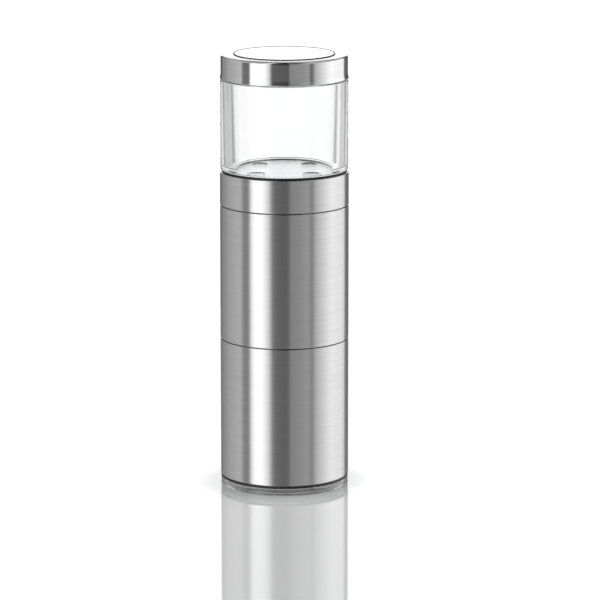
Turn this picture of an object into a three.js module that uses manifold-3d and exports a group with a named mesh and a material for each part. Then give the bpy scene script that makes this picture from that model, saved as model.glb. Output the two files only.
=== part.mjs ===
// A hand mill that grates whole nutmegs: a steel barrel in two halves with a blade disc inside its foot,
// a sprung plunger that presses the nut on the blade, a clear jar on top and a clear cap under the foot.
// Millimetres, +Z up. The origin is the centre of the base cap's underside.
import * as THREE from "three";
import { mergeVertices } from "three/addons/utils/BufferGeometryUtils.js";
import Module from "manifold-3d";

const wasm = await Module();
wasm.setup();

// Driving dimensions: outside heights, from the table up
const bodyDiameter = 45;
const capRimHeight = 2.85;
const lowerSleeveHeight = 48.35;
const middleSleeveHeight = 47;
const collarHeight = 11.4;
const jarHeight = 31.35;
const lidHeight = 8.3;

// Open joints between the outside pieces
const turnGap = 0.3;
const headGap = 0.3;
const lidGap = 0.3;

// Clearances
const seatGap = 0.3;
const slideGap = 0.3;
const turningGap = 0.3;
const holeGap = 0.3;
const stopGap = 0.3;

// Steel tubes
const sleeveWall = 0.7;
const sleeveEdge = 0.2;

// Base cap
const capInset = 0.1;
const capEdge = 0.4;
const capFootWidth = 4;
const capFootStep = 0.5;
const capFloor = 1.8;
const capSpigotHeight = 5.6;
const capSpigotWall = 1.5;
const capSpigotEdge = 0.5;

// Mouth of the outlet, with keys that stop the cap from turning
const mouthRim = 0.9;
const mouthStep = 1;
const mouthWall = 1.7;
const mouthLipHeight = 0.35;
const mouthLipInset = 0.2;
const mouthTaper = 2;
const keyCount = 3;
const keyWidth = 4;
const keyDepth = 0.9;
const keyHeight = 3;
const keyRise = 2.6;

// Blade disc
const bladeRecess = 13.05;
const bladeThickness = 0.8;
const bladeSeatStep = 1.6;
const bladeSeatWidth = 2.9;
const bladeSlotWidth = 3.4;
const bladeSlotRim = 1.9;
const scallopRadius = 1;
const scallopDepth = 0.8;
const scallopStart = 1.9;
const cuttingRise = 0.7;
const cuttingRun = 3.3;
const cuttingUnderside = 0.5;
const bladeTabWidth = 3;
const bladeTabLength = 1;

// Ring that holds the blade in its seat
const retainerHeight = 3;
const retainerTickCount = 34;
const retainerTickWidth = 0.5;
const retainerTickDepth = 0.4;
const retainerFoot = 1;

// Shelf over the blade and the tube in which the nut sits
const shelfThickness = 2;
const chamberWall = 2.2;
const chamberFlange = 3;
const chamberHeadDrop = 4;
const chamberRim = 3;

// Ring on which the upper barrel turns
const bearingHeight = 4.6;
const bearingWall = 2.7;
const bearingDrop = 0.25;
const ridgeHeight = 0.9;
const ridgeWidth = 0.6;
const ridgeSlope = 0.3;
const ridgeDrop = 2.4;
const linerLedge = 1.7;

// Moulding that carries the jar and the plunger's guide
const carrierWall = 1.8;
const carrierWeb = 3;
const carrierSpigot = 3.6;
const carrierRimRise = 0.6;
const tabWidth = 6;
const tabHeight = 2.5;
const tabThickness = 1.4;
const plateThickness = 0.6;

// Screws under the jar's floor
const screwCount = 4;
const screwEdge = 4.1;
const screwHeadRadius = 2.75;
const screwHeadHeight = 1.1;
const screwHeadDrop = 0.55;
const screwRadius = 1.3;
const screwLength = 5.5;

// Jar
const jarInset = 0.2;
const jarEdge = 0.3;
const jarFloor = 1.8;
const jarFloorDrop = 0.3;
const jarBaseWall = 4.6;
const jarTopWall = 4.05;
const jarNeckWall = 1.95;
const jarNeckHeight = 5.1;
const jarCorner = 0.5;

// Lid
const lidTopEdge = 0.8;
const lidFlare = 0.15;
const lidFlareHeight = 1.4;
const lidFlareBand = 0.5;
const inlayBorder = 5.25;
const inlayThickness = 0.9;
const inlayRise = 0.4;
const inlayEdge = 0.15;
const inlayRecess = 0.8;
const insertWeb = 1.4;
const insertSkirt = 1;
const insertInset = 0.3;
const plugGap = 0.55;
const plugWall = 1.3;
const plugDepth = 4.4;
const sealRadius = 0.5;
const sealGrooveDepth = 0.6;
const sealRise = 1.7;

// Plunger and its telescopic guide
const plungerTravel = 28;
const spikeClearance = 0.6;
const spikeLength = 2.55;
const spikeRadius = 0.9;
const spikeEdge = 4;
const spikeCount = 6;
const clawThickness = 0.7;
const clawClearance = 2.5;
const clawBore = 1.5;
const clawScrewHead = 2.6;
const clawScrewHeadHeight = 1.1;
const clawScrewLength = 4;
const plungerFloor = 3;
const plungerFlangeGap = 0.6;
const plungerFlangeEdge = 0.8;
const plungerWall = 1.8;
const plungerClearance = 3.3;
const plungerRim = 1.7;
const plungerHeight = 40.5;
const guideWall = 1.4;
const guideFlangeClearance = 2.7;
const guideFlangeThickness = 2.3;
const guideLugWidth = 4;
const guideLugDepth = 1.6;
const guideLugHeight = 3;

// Spring, wound at its resting length in the mill
const springClearance = 1.15;
const springWireRadius = 0.55;
const springTurns = 16;
const springSteps = 8;
const springSides = 5;

// Facets of a full turn
const facets = 36;
const smallFacets = 14;
const sealFacets = 8;
const cornerSteps = 3;

// Points closer than this are one point
const weldDistance = 1e-4;

// Radii that several pieces share
const bodyRadius = bodyDiameter / 2;
const sleeveBore = bodyRadius - sleeveWall;
const coreRadius = sleeveBore - seatGap;
const mouthRadius = coreRadius - mouthWall;
const bladeSeatRadius = mouthRadius - bladeSeatStep;
const retainerRadius = bladeSeatRadius - seatGap;
const chamberBore = retainerRadius - bladeSeatWidth;
const chamberRadius = chamberBore + chamberWall;
const bearingBore = chamberRadius + turningGap;
const bearingRadius = bearingBore + bearingWall;
const carrierBore = coreRadius - carrierWall;
const clawRadius = chamberBore - clawClearance;
const spikeCircle = clawRadius - spikeEdge;
const plungerRadius = chamberBore - plungerClearance;
const plungerBore = plungerRadius - plungerWall;
const guideRadius = plungerBore - slideGap;
const guideBore = guideRadius - guideWall;
const guideFlange = carrierBore - guideFlangeClearance;
const screwCircle = guideFlange - screwEdge;
const springCoilRadius = guideBore - springClearance - springWireRadius;
const jarRadius = bodyRadius - jarInset;
const jarNeckBore = jarRadius - jarTopWall;
const plugRadius = jarNeckBore - plugGap;
const inlayRadius = bodyRadius - inlayBorder;

// Heights that several pieces share
const mouthBase = capRimHeight + stopGap;
const mouthLipTop = mouthBase + mouthLipHeight;
const lowerSleeveBase = mouthLipTop + seatGap;
const lowerSleeveTop = lowerSleeveBase + lowerSleeveHeight;
const middleSleeveBase = lowerSleeveTop + turnGap;
const middleSleeveTop = middleSleeveBase + middleSleeveHeight;
const collarBase = middleSleeveTop + headGap;
const collarTop = collarBase + collarHeight;
const carrierTop = collarTop + carrierRimRise;
const jarBase = carrierTop + seatGap;
const jarTop = jarBase + jarHeight;
const lidBase = jarTop + lidGap;
const lidTop = lidBase + lidHeight;

const bladeBase = lowerSleeveBase + bladeRecess;
const bladeTop = bladeBase + bladeThickness;
const retainerTop = bladeBase - seatGap;
const retainerBase = retainerTop - retainerHeight;
const shelfBase = bladeTop + seatGap;
const shelfTop = shelfBase + shelfThickness;
const bearingTop = lowerSleeveTop - bearingDrop;
const bearingBase = bearingTop - bearingHeight;
const ridgeMiddle = bearingTop - ridgeDrop;
const chamberBase = shelfTop + turningGap;
const chamberFlangeBase = bearingTop + turningGap;
const headFlangeTop = middleSleeveTop - chamberHeadDrop;
const chamberTop = headFlangeTop + chamberRim;

const carrierBase = middleSleeveTop - carrierSpigot;
const jarFloorTop = jarBase - jarFloorDrop;
const jarFloorBase = jarFloorTop - jarFloor;
const plateTop = jarFloorBase - seatGap;
const plateFaceBase = plateTop - plateThickness;
const screwHeadTop = plateTop - screwHeadDrop;
const screwHeadBase = screwHeadTop - screwHeadHeight;
const carrierWebTop = screwHeadBase - seatGap;
const carrierWebBase = carrierWebTop - carrierWeb;
const guideFlangeTop = carrierWebBase - seatGap;
const guideFlangeBase = guideFlangeTop - guideFlangeThickness;

const insertTop = lidTop - inlayRecess - sleeveWall - seatGap;
const insertWebBase = insertTop - insertWeb;
const plugBase = insertWebBase - plugDepth;
const sealMiddle = plugBase + sealRise;

const spikeTip = bladeTop + cuttingRise + spikeClearance;
const clawBase = spikeTip + spikeLength;
const clawTop = clawBase + clawThickness;
const plungerBase = clawTop + seatGap;
const plungerFloorTop = plungerBase + plungerFloor;
const plungerTop = plungerBase + plungerHeight;
const guideSlotTop = plungerTop - plungerRim;
const guideLugTop = guideSlotTop - stopGap;
const guideBase = guideLugTop - guideLugHeight;
const guideSlotBase = guideBase - plungerTravel - stopGap;

// Finishes
const brushedSteel = { color: 0xc4c6c9, roughness: 0.32, metalness: 1 };
const polishedSteel = { color: 0xd9dadc, roughness: 0.15, metalness: 1 };
const clearAcrylic = { color: 0xf3f7f8, roughness: 0.05, metalness: 0, transparent: true, opacity: 0.3 };
const blackPlastic = { color: 0x121315, roughness: 0.45, metalness: 0 };
const whitePlastic = { color: 0xe4e3dc, roughness: 0.5, metalness: 0 };
const blackRubber = { color: 0x0d0d0e, roughness: 0.8, metalness: 0 };

// The solid that a profile of [radius, height] points sweeps round Z, drawn anticlockwise
function turned(profile, segments = facets) {
  const points = profile.map(([radius, height]) => new THREE.Vector2(radius, height));
  return new THREE.LatheGeometry(points, segments).rotateX(Math.PI / 2);
}

// The same for a ring, whose profile closes on itself
function turnedRing(profile, segments = facets) {
  return turned([...profile, profile[0]], segments);
}

// A box from its lowest and highest corners
function boxBetween(low, high) {
  const size = low.map((value, axis) => high[axis] - value);
  const middle = low.map((value, axis) => (high[axis] + value) / 2);
  return new THREE.BoxGeometry(...size).translate(...middle);
}

// A round bar along Z
function bar(x, y, radius, base, top, segments = smallFacets) {
  return new THREE.CylinderGeometry(radius, radius, top - base, segments)
    .rotateX(Math.PI / 2)
    .translate(x, y, (base + top) / 2);
}

// A radial block: a box on the +X side, turned to an angle about Z
function radialBlock(inner, outer, width, base, top, angle) {
  return boxBetween([inner, -width / 2, base], [outer, width / 2, top]).rotateZ(angle);
}

// Copies of one thing, made for each of count equal angles
function around(count, make, start = 0) {
  return Array.from({ length: count }, (_, index) => make(start + (2 * Math.PI * index) / count));
}

function solidOf(geometry) {
  const bare = geometry.clone();
  bare.deleteAttribute("normal");
  bare.deleteAttribute("uv");
  const merged = mergeVertices(bare, weldDistance);
  const mesh = new wasm.Mesh({
    numProp: 3,
    vertProperties: merged.attributes.position.array,
    triVerts: new Uint32Array(merged.index.array),
  });
  return new wasm.Manifold(mesh);
}

function geometryOf(solid) {
  const mesh = solid.getMesh();
  const geometry = new THREE.BufferGeometry();
  geometry.setAttribute("position", new THREE.BufferAttribute(mesh.vertProperties, mesh.numProp));
  geometry.setIndex(new THREE.BufferAttribute(mesh.triVerts, 1));
  geometry.computeVertexNormals();
  return geometry;
}

// One body, with pieces added and then cuts taken away
function shaped(body, added, cuts) {
  const joined = added.reduce((solid, piece) => solid.add(solidOf(piece)), solidOf(body));
  return geometryOf(cuts.reduce((solid, cut) => solid.subtract(solidOf(cut)), joined));
}

function piece(name, geometry, finish) {
  const mesh = new THREE.Mesh(geometry, new THREE.MeshStandardMaterial(finish));
  mesh.name = name;
  return mesh;
}

// A steel tube with eased ends
function sleeve(base, top) {
  return turnedRing([
    [sleeveBore, base],
    [bodyRadius - sleeveEdge, base],
    [bodyRadius, base + sleeveEdge],
    [bodyRadius, top - sleeveEdge],
    [bodyRadius - sleeveEdge, top],
    [sleeveBore, top],
  ]);
}

// Clear cap under the foot: a rim as wide as the body, a foot ring, and a spigot with slots for the keys
function baseCap() {
  const rim = bodyRadius - capInset;
  const spigot = mouthRadius - slideGap;
  const inside = spigot - capSpigotWall;
  const spigotTop = capRimHeight + capSpigotHeight;
  const floorTop = capFootStep + capFloor;
  const body = turned([
    [0, capFootStep],
    [rim - capFootWidth, capFootStep],
    [rim - capFootWidth, 0],
    [rim - capEdge, 0],
    [rim, capEdge],
    [rim, capRimHeight],
    [spigot, capRimHeight],
    [spigot, spigotTop - capSpigotEdge],
    [spigot - capSpigotEdge, spigotTop],
    [inside, spigotTop],
    [inside, floorTop],
    [0, floorTop],
  ]);
  const slots = around(keyCount, (angle) =>
    radialBlock(
      mouthRadius - keyDepth - slideGap,
      mouthRadius,
      keyWidth + 2 * slideGap,
      capRimHeight,
      spigotTop + slideGap,
      angle,
    ),
  );
  return shaped(body, [], slots);
}

// Black moulding in the lower sleeve: a lip under the steel, a stepped mouth, keys, blade seat, shelf and
// the seat of the bearing ring
function outletLiner() {
  const throat = retainerBase - retainerFoot;
  const body = turnedRing([
    [bodyRadius - mouthLipInset, mouthBase],
    [bodyRadius - mouthLipInset, mouthLipTop],
    [coreRadius, mouthLipTop],
    [coreRadius, bearingTop],
    [bearingRadius + seatGap, bearingTop],
    [bearingRadius + seatGap, bearingBase - seatGap],
    [bearingRadius + seatGap - linerLedge, bearingBase - seatGap],
    [bearingRadius + seatGap - linerLedge, shelfTop],
    [chamberBore, shelfTop],
    [chamberBore, shelfBase],
    [bladeSeatRadius, shelfBase],
    [bladeSeatRadius, throat],
    [mouthRadius, throat - mouthTaper],
    [mouthRadius, mouthBase + mouthStep],
    [coreRadius - mouthRim, mouthBase + mouthStep],
    [coreRadius - mouthRim, mouthBase],
  ]);
  const keys = around(keyCount, (angle) =>
    radialBlock(
      mouthRadius - keyDepth,
      (mouthRadius + coreRadius) / 2,
      keyWidth,
      mouthBase + keyRise,
      mouthBase + keyRise + keyHeight,
      angle,
    ),
  );
  const channels = around(
    2,
    (angle) =>
      radialBlock(
        chamberBore + seatGap,
        retainerRadius + bladeTabLength + seatGap,
        bladeTabWidth + 2 * seatGap,
        throat - mouthTaper,
        shelfBase,
        angle,
      ),
    Math.PI / 2,
  );
  return shaped(body, keys, channels);
}

// A wedge along the slot's cutting edge, highest at the slot: the blade's lip, or the hollow under it
function edgeWedge(start, end, height, base) {
  const section = new THREE.Shape([
    new THREE.Vector2(bladeSlotWidth / 2, 0),
    new THREE.Vector2(bladeSlotWidth / 2 + cuttingRun, 0),
    new THREE.Vector2(bladeSlotWidth / 2, height),
  ]);
  return new THREE.ExtrudeGeometry(section, { depth: end - start, bevelEnabled: false })
    .rotateX(Math.PI / 2)
    .rotateZ(Math.PI / 2)
    .translate(start, 0, base);
}

// Steel blade disc: one slot across it, with a raised and scalloped cutting edge along one radius
function bladeDisc() {
  const overlap = bladeThickness / 4;
  const slotEnd = retainerRadius - bladeSlotRim;
  const pitch = 2 * Math.sqrt(scallopRadius ** 2 - (scallopRadius - scallopDepth) ** 2);
  const scallopCount = 1 + Math.floor((chamberBore - scallopStart) / pitch);
  const lipStart = scallopStart - pitch / 2;
  const lipEnd = scallopStart + pitch * (scallopCount - 0.5);
  const body = turned([
    [0, bladeBase],
    [retainerRadius, bladeBase],
    [retainerRadius, bladeTop],
    [0, bladeTop],
  ]);
  const tabs = around(
    2,
    (angle) =>
      radialBlock(chamberBore, retainerRadius + bladeTabLength, bladeTabWidth, bladeBase, bladeTop, angle),
    Math.PI / 2,
  );
  const lip = edgeWedge(lipStart, lipEnd, cuttingRise + overlap, bladeTop - overlap);
  const hollow = edgeWedge(lipStart, lipEnd, cuttingUnderside, bladeBase);
  const slot = boxBetween(
    [-slotEnd, -bladeSlotWidth / 2, bladeBase - bladeThickness],
    [slotEnd, bladeSlotWidth / 2, bladeTop + bladeThickness],
  );
  const scallops = Array.from({ length: scallopCount }, (_, index) =>
    bar(
      scallopStart + index * pitch,
      bladeSlotWidth / 2 - scallopRadius + scallopDepth,
      scallopRadius,
      bladeBase - bladeThickness,
      bladeTop + 2 * cuttingRise,
    ),
  );
  return shaped(body, [...tabs, lip], [hollow, slot, ...scallops]);
}

// Ring under the blade, with fine radial grooves for the fingers' grip
function bladeRetainer() {
  const body = turnedRing([
    [chamberBore, retainerBase],
    [retainerRadius, retainerBase],
    [retainerRadius, retainerTop],
    [chamberBore, retainerTop],
  ]);
  const grooves = around(retainerTickCount, (angle) =>
    radialBlock(
      chamberBore - seatGap,
      retainerRadius - retainerTickWidth,
      retainerTickWidth,
      retainerBase - retainerTickDepth,
      retainerBase + retainerTickDepth,
      angle + Math.PI / retainerTickCount,
    ),
  );
  return shaped(body, [], grooves);
}

// Pale ring that the chamber snaps into and turns in
function bearingRing() {
  const groove = bearingBore + ridgeHeight;
  const half = ridgeWidth / 2 + turningGap;
  return turnedRing([
    [bearingBore, bearingBase],
    [bearingRadius, bearingBase],
    [bearingRadius, bearingTop],
    [bearingBore, bearingTop],
    [bearingBore, ridgeMiddle + half + ridgeSlope],
    [groove, ridgeMiddle + half],
    [groove, ridgeMiddle - half],
    [bearingBore, ridgeMiddle - half - ridgeSlope],
  ]);
}

// Tube that holds the nut: a flange at each end of the middle sleeve and a ridge that snaps into the bearing
function nutChamber() {
  const half = ridgeWidth / 2;
  const ridge = chamberRadius + ridgeHeight;
  const body = turnedRing([
    [chamberBore, chamberBase],
    [chamberRadius, chamberBase],
    [chamberRadius, ridgeMiddle - half - ridgeSlope],
    [ridge, ridgeMiddle - half],
    [ridge, ridgeMiddle + half],
    [chamberRadius, ridgeMiddle + half + ridgeSlope],
    [chamberRadius, chamberFlangeBase],
    [coreRadius, chamberFlangeBase],
    [coreRadius, chamberFlangeBase + chamberFlange],
    [chamberRadius, chamberFlangeBase + chamberFlange],
    [chamberRadius, headFlangeTop - chamberFlange],
    [coreRadius, headFlangeTop - chamberFlange],
    [coreRadius, headFlangeTop],
    [chamberRadius, headFlangeTop],
    [chamberRadius, chamberTop],
    [chamberBore, chamberTop],
  ]);
  const notches = around(
    2,
    (angle) =>
      radialBlock(
        coreRadius - tabThickness - slideGap,
        bodyRadius,
        tabWidth + 2 * slideGap,
        headFlangeTop - chamberFlange - slideGap,
        headFlangeTop + slideGap,
        angle,
      ),
    Math.PI / 2,
  );
  return shaped(body, [], notches);
}

// The places of the screws round the axis
function screwPlaces() {
  return around(
    screwCount,
    (angle) => [screwCircle * Math.cos(angle), screwCircle * Math.sin(angle)],
    Math.PI / screwCount,
  );
}

function screwHoles(base, top) {
  return screwPlaces().map(([x, y]) => bar(x, y, screwRadius + holeGap, base - holeGap, top + holeGap));
}

// Black moulding in the collar: jar socket, web, and a spigot with two tabs that key the head to the barrel
function jarCarrier() {
  const body = turned([
    [0, carrierWebBase],
    [carrierBore, carrierWebBase],
    [carrierBore, carrierBase],
    [coreRadius, carrierBase],
    [coreRadius, carrierTop],
    [carrierBore, carrierTop],
    [carrierBore, carrierWebTop],
    [0, carrierWebTop],
  ]);
  const tabs = around(
    2,
    (angle) =>
      radialBlock(
        coreRadius - tabThickness,
        coreRadius - seatGap,
        tabWidth,
        carrierBase - tabHeight,
        carrierBase + tabHeight,
        angle,
      ),
    Math.PI / 2,
  );
  return shaped(body, tabs, screwHoles(carrierWebBase, carrierWebTop));
}

// Bright dished plate under the jar's clear floor, with a round well over each screw
function carrierPlate() {
  const rim = carrierBore - seatGap;
  const body = turned([
    [0, plateFaceBase],
    [rim - plateThickness, plateFaceBase],
    [rim - plateThickness, screwHeadBase],
    [rim, screwHeadBase],
    [rim, plateTop],
    [0, plateTop],
  ]);
  const wells = screwPlaces().map(([x, y]) =>
    bar(x, y, screwHeadRadius + seatGap, screwHeadBase, plateTop + plateThickness),
  );
  return shaped(body, [], wells);
}

// Fixed tube of the telescopic guide, hung from the carrier by its flange, with two lugs at its foot
function guideTube() {
  const body = turnedRing([
    [guideBore, guideBase],
    [guideRadius, guideBase],
    [guideRadius, guideFlangeBase],
    [guideFlange, guideFlangeBase],
    [guideFlange, guideFlangeTop],
    [guideBore, guideFlangeTop],
  ]);
  const lugs = around(2, (angle) =>
    radialBlock(
      (guideBore + guideRadius) / 2,
      guideRadius + guideLugDepth,
      guideLugWidth,
      guideBase,
      guideLugTop,
      angle,
    ),
  );
  return shaped(body, lugs, screwHoles(guideFlangeBase, guideFlangeTop));
}

// Pan-head screw, head up, at its place under the jar's floor
function carrierScrew([x, y]) {
  return turned(
    [
      [0, screwHeadBase - screwLength],
      [screwRadius, screwHeadBase - screwLength],
      [screwRadius, screwHeadBase],
      [screwHeadRadius, screwHeadBase],
      [screwHeadRadius, screwHeadBase + screwHeadHeight / 2],
      [screwHeadRadius / 2, screwHeadTop],
      [0, screwHeadTop],
    ],
    smallFacets,
  ).translate(x, y, 0);
}

// Quarter arc of [radius, height] points from one angle to the next
function arc(centreRadius, centreHeight, radius, from, to) {
  return Array.from({ length: cornerSteps + 1 }, (_, index) => {
    const angle = from + ((to - from) * index) / cornerSteps;
    return [centreRadius + radius * Math.cos(angle), centreHeight + radius * Math.sin(angle)];
  });
}

// Thick clear jar: a foot inside the carrier, a drafted bore and a neck for the lid
function clearJar() {
  const neck = jarNeckBore + jarNeckWall;
  const baseBore = jarRadius - jarBaseWall;
  return turned([
    [0, jarFloorBase],
    [carrierBore - seatGap, jarFloorBase],
    [carrierBore - seatGap, jarBase],
    [jarRadius - jarEdge, jarBase],
    [jarRadius, jarBase + jarEdge],
    [jarRadius, jarTop],
    [neck, jarTop],
    [neck, jarTop + jarNeckHeight],
    [jarNeckBore, jarTop + jarNeckHeight],
    [jarNeckBore, jarTop],
    ...arc(baseBore - jarCorner, jarFloorTop + jarCorner, jarCorner, 0, -Math.PI / 2),
    [0, jarFloorTop],
  ]);
}

// Pressed steel lid: a flat top with a round recess, an eased shoulder and a slightly flared rim
function lidShell() {
  const recess = inlayRadius + seatGap;
  const recessFloor = lidTop - inlayRecess;
  const inside = sleeveBore - lidTopEdge + sleeveWall;
  return turned([
    [0, recessFloor - sleeveWall],
    [recess + sleeveWall, recessFloor - sleeveWall],
    [recess + sleeveWall, lidTop - sleeveWall],
    [inside, lidTop - sleeveWall],
    [sleeveBore, lidTop - lidTopEdge],
    [sleeveBore, lidBase],
    [bodyRadius + lidFlare, lidBase],
    [bodyRadius + lidFlare, lidBase + lidFlareBand],
    [bodyRadius, lidBase + lidFlareHeight],
    ...arc(bodyRadius - lidTopEdge, lidTop - lidTopEdge, lidTopEdge, 0, Math.PI / 2),
    [recess, lidTop],
    [recess, recessFloor],
    [0, recessFloor],
  ]);
}

// Bright disc that stands slightly proud of the lid
function lidInlay() {
  const base = lidTop + inlayRise - inlayThickness;
  return turned([
    [0, base],
    [inlayRadius, base],
    [inlayRadius, lidTop + inlayRise - inlayEdge],
    [inlayRadius - inlayEdge, lidTop + inlayRise],
    [0, lidTop + inlayRise],
  ]);
}

// Moulding in the lid: a skirt outside the jar's neck and a plug inside it, with a groove for the seal
function lidInsert() {
  const groove = plugRadius - sealGrooveDepth;
  const sealHalf = sealRadius + seatGap / 2;
  return turned([
    [0, insertWebBase],
    [plugRadius - plugWall, insertWebBase],
    [plugRadius - plugWall, plugBase],
    [plugRadius, plugBase],
    [plugRadius, sealMiddle - sealHalf],
    [groove, sealMiddle - sealHalf],
    [groove, sealMiddle + sealHalf],
    [plugRadius, sealMiddle + sealHalf],
    [plugRadius, insertWebBase],
    [coreRadius - insertSkirt, insertWebBase],
    [coreRadius - insertSkirt, lidBase + insertInset],
    [coreRadius, lidBase + insertInset],
    [coreRadius, insertTop],
    [0, insertTop],
  ]);
}

// Rubber ring in the plug's groove
function lidSeal() {
  const middle = plugRadius - sealGrooveDepth + sealRadius + seatGap / 4;
  return turnedRing(
    around(sealFacets, (angle) => [
      middle + sealRadius * Math.cos(angle),
      sealMiddle + sealRadius * Math.sin(angle),
    ]),
  );
}

// Sliding cup of the guide: a flange that runs in the chamber and two slots for the guide tube's lugs
function plungerCup() {
  const flange = chamberBore - plungerFlangeGap;
  const body = turnedRing([
    [clawBore, plungerBase],
    [flange, plungerBase],
    [flange, plungerFloorTop - plungerFlangeEdge],
    [plungerRadius, plungerFloorTop],
    [plungerRadius, plungerTop],
    [plungerBore, plungerTop],
    [plungerBore, plungerFloorTop],
    [clawBore, plungerFloorTop],
  ]);
  const slots = around(2, (angle) =>
    radialBlock(
      plungerBore - slideGap,
      plungerRadius + slideGap,
      guideLugWidth + 2 * slideGap,
      guideSlotBase,
      guideSlotTop,
      angle,
    ),
  );
  return shaped(body, [], slots);
}

// Steel plate with spikes that bite into the nut and hold it from turning
function clawPlate() {
  const overlap = clawThickness / 2;
  const body = turnedRing([
    [clawBore, clawBase],
    [clawRadius, clawBase],
    [clawRadius, clawTop],
    [clawBore, clawTop],
  ]);
  const spikes = around(spikeCount, (angle) =>
    new THREE.ConeGeometry(spikeRadius, spikeLength + overlap, sealFacets)
      .rotateX(-Math.PI / 2)
      .translate(
        spikeCircle * Math.cos(angle),
        spikeCircle * Math.sin(angle),
        clawBase + overlap - (spikeLength + overlap) / 2,
      ),
  );
  return shaped(body, spikes, []);
}

// Screw that holds the claw plate under the plunger, head down
function clawScrew() {
  const headTop = clawBase - seatGap;
  const headBase = headTop - clawScrewHeadHeight;
  const shank = clawBore - holeGap;
  return turned(
    [
      [0, headBase],
      [clawScrewHead / 2, headBase],
      [clawScrewHead, headBase + clawScrewHeadHeight / 2],
      [clawScrewHead, headTop],
      [shank, headTop],
      [shank, headTop + clawScrewLength],
      [0, headTop + clawScrewLength],
    ],
    smallFacets,
  );
}

// Least distance between two stretches of wire in neighbouring turns, measured on points of the centre line
function springGap(centre) {
  const reach = springSteps / 2;
  let least = Infinity;
  centre.forEach((point, index) => {
    for (let other = index + reach; other < centre.length; other++) {
      least = Math.min(least, point.distanceTo(centre[other]));
    }
  });
  return least - 2 * springWireRadius;
}

// Helical spring from the plunger's floor to the carrier's web, one unbroken wire with square-cut ends
function pressureSpring() {
  const low = plungerFloorTop + seatGap + springWireRadius;
  const high = carrierWebBase - seatGap - springWireRadius;
  const steps = springTurns * springSteps;
  const rise = high - low;
  const slope = Math.atan2(rise / springTurns, 2 * Math.PI * springCoilRadius);
  const centre = [];
  const positions = [];
  const triangles = [];
  for (let step = 0; step <= steps; step++) {
    const angle = (2 * Math.PI * step) / springSteps;
    const outward = new THREE.Vector3(Math.cos(angle), Math.sin(angle), 0);
    const upward = new THREE.Vector3(
      Math.sin(angle) * Math.sin(slope),
      -Math.cos(angle) * Math.sin(slope),
      Math.cos(slope),
    );
    const middle = outward.clone().multiplyScalar(springCoilRadius);
    middle.z = low + (rise * step) / steps;
    centre.push(middle);
    for (let side = 0; side < springSides; side++) {
      const turn = (2 * Math.PI * side) / springSides;
      const point = middle
        .clone()
        .addScaledVector(outward, springWireRadius * Math.cos(turn))
        .addScaledVector(upward, springWireRadius * Math.sin(turn));
      positions.push(point.x, point.y, point.z);
    }
  }
  for (let step = 0; step < steps; step++) {
    for (let side = 0; side < springSides; side++) {
      const next = (side + 1) % springSides;
      const here = step * springSides;
      const there = here + springSides;
      triangles.push(here + side, there + next, here + next);
      triangles.push(here + side, there + side, there + next);
    }
  }
  const last = steps * springSides;
  for (let side = 1; side < springSides - 1; side++) {
    triangles.push(0, side, side + 1);
    triangles.push(last, last + side + 1, last + side);
  }
  console.log("least gap between the spring's turns: " + springGap(centre).toFixed(2) + " mm");
  const geometry = new THREE.BufferGeometry();
  geometry.setAttribute("position", new THREE.Float32BufferAttribute(positions, 3));
  geometry.setIndex(triangles);
  geometry.computeVertexNormals();
  return geometry;
}

function grinderHalf() {
  return [
    piece("lower_sleeve", sleeve(lowerSleeveBase, lowerSleeveTop), brushedSteel),
    piece("outlet_liner", outletLiner(), blackPlastic),
    piece("blade_disc", bladeDisc(), polishedSteel),
    piece("blade_retaining_ring", bladeRetainer(), blackPlastic),
    piece("bearing_ring", bearingRing(), whitePlastic),
  ];
}

function barrelHalf() {
  return [
    piece("middle_sleeve", sleeve(middleSleeveBase, middleSleeveTop), brushedSteel),
    piece("nut_chamber", nutChamber(), blackPlastic),
  ];
}

function headGroup() {
  const screws = screwPlaces().map((place, index) =>
    piece("carrier_screw_" + (index + 1), carrierScrew(place), polishedSteel),
  );
  return [
    piece("collar", sleeve(collarBase, collarTop), brushedSteel),
    piece("jar_carrier", jarCarrier(), blackPlastic),
    piece("carrier_plate", carrierPlate(), polishedSteel),
    piece("guide_tube", guideTube(), whitePlastic),
    ...screws,
    piece("jar", clearJar(), clearAcrylic),
  ];
}

function plungerGroup() {
  return [
    piece("plunger", plungerCup(), whitePlastic),
    piece("claw_plate", clawPlate(), polishedSteel),
    piece("claw_screw", clawScrew(), polishedSteel),
    piece("pressure_spring", pressureSpring(), polishedSteel),
  ];
}

function lidGroup() {
  return [
    piece("lid_shell", lidShell(), brushedSteel),
    piece("lid_inlay", lidInlay(), polishedSteel),
    piece("lid_insert", lidInsert(), blackPlastic),
    piece("lid_seal", lidSeal(), blackRubber),
  ];
}

const mill = new THREE.Group();
mill.add(piece("base_cap", baseCap(), clearAcrylic));
mill.add(...grinderHalf(), ...barrelHalf(), ...headGroup(), ...plungerGroup(), ...lidGroup());

export default mill;
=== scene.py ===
"""A hand mill for whole nutmegs: steel barrel, clear jar and cap, the works inside, and a pale studio."""

from __future__ import annotations

import logging
import math
from collections.abc import Callable, Sequence
from dataclasses import dataclass, field
from enum import Enum
from typing import Any

import bmesh
import bpy
from mathutils import Matrix, Vector

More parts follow.
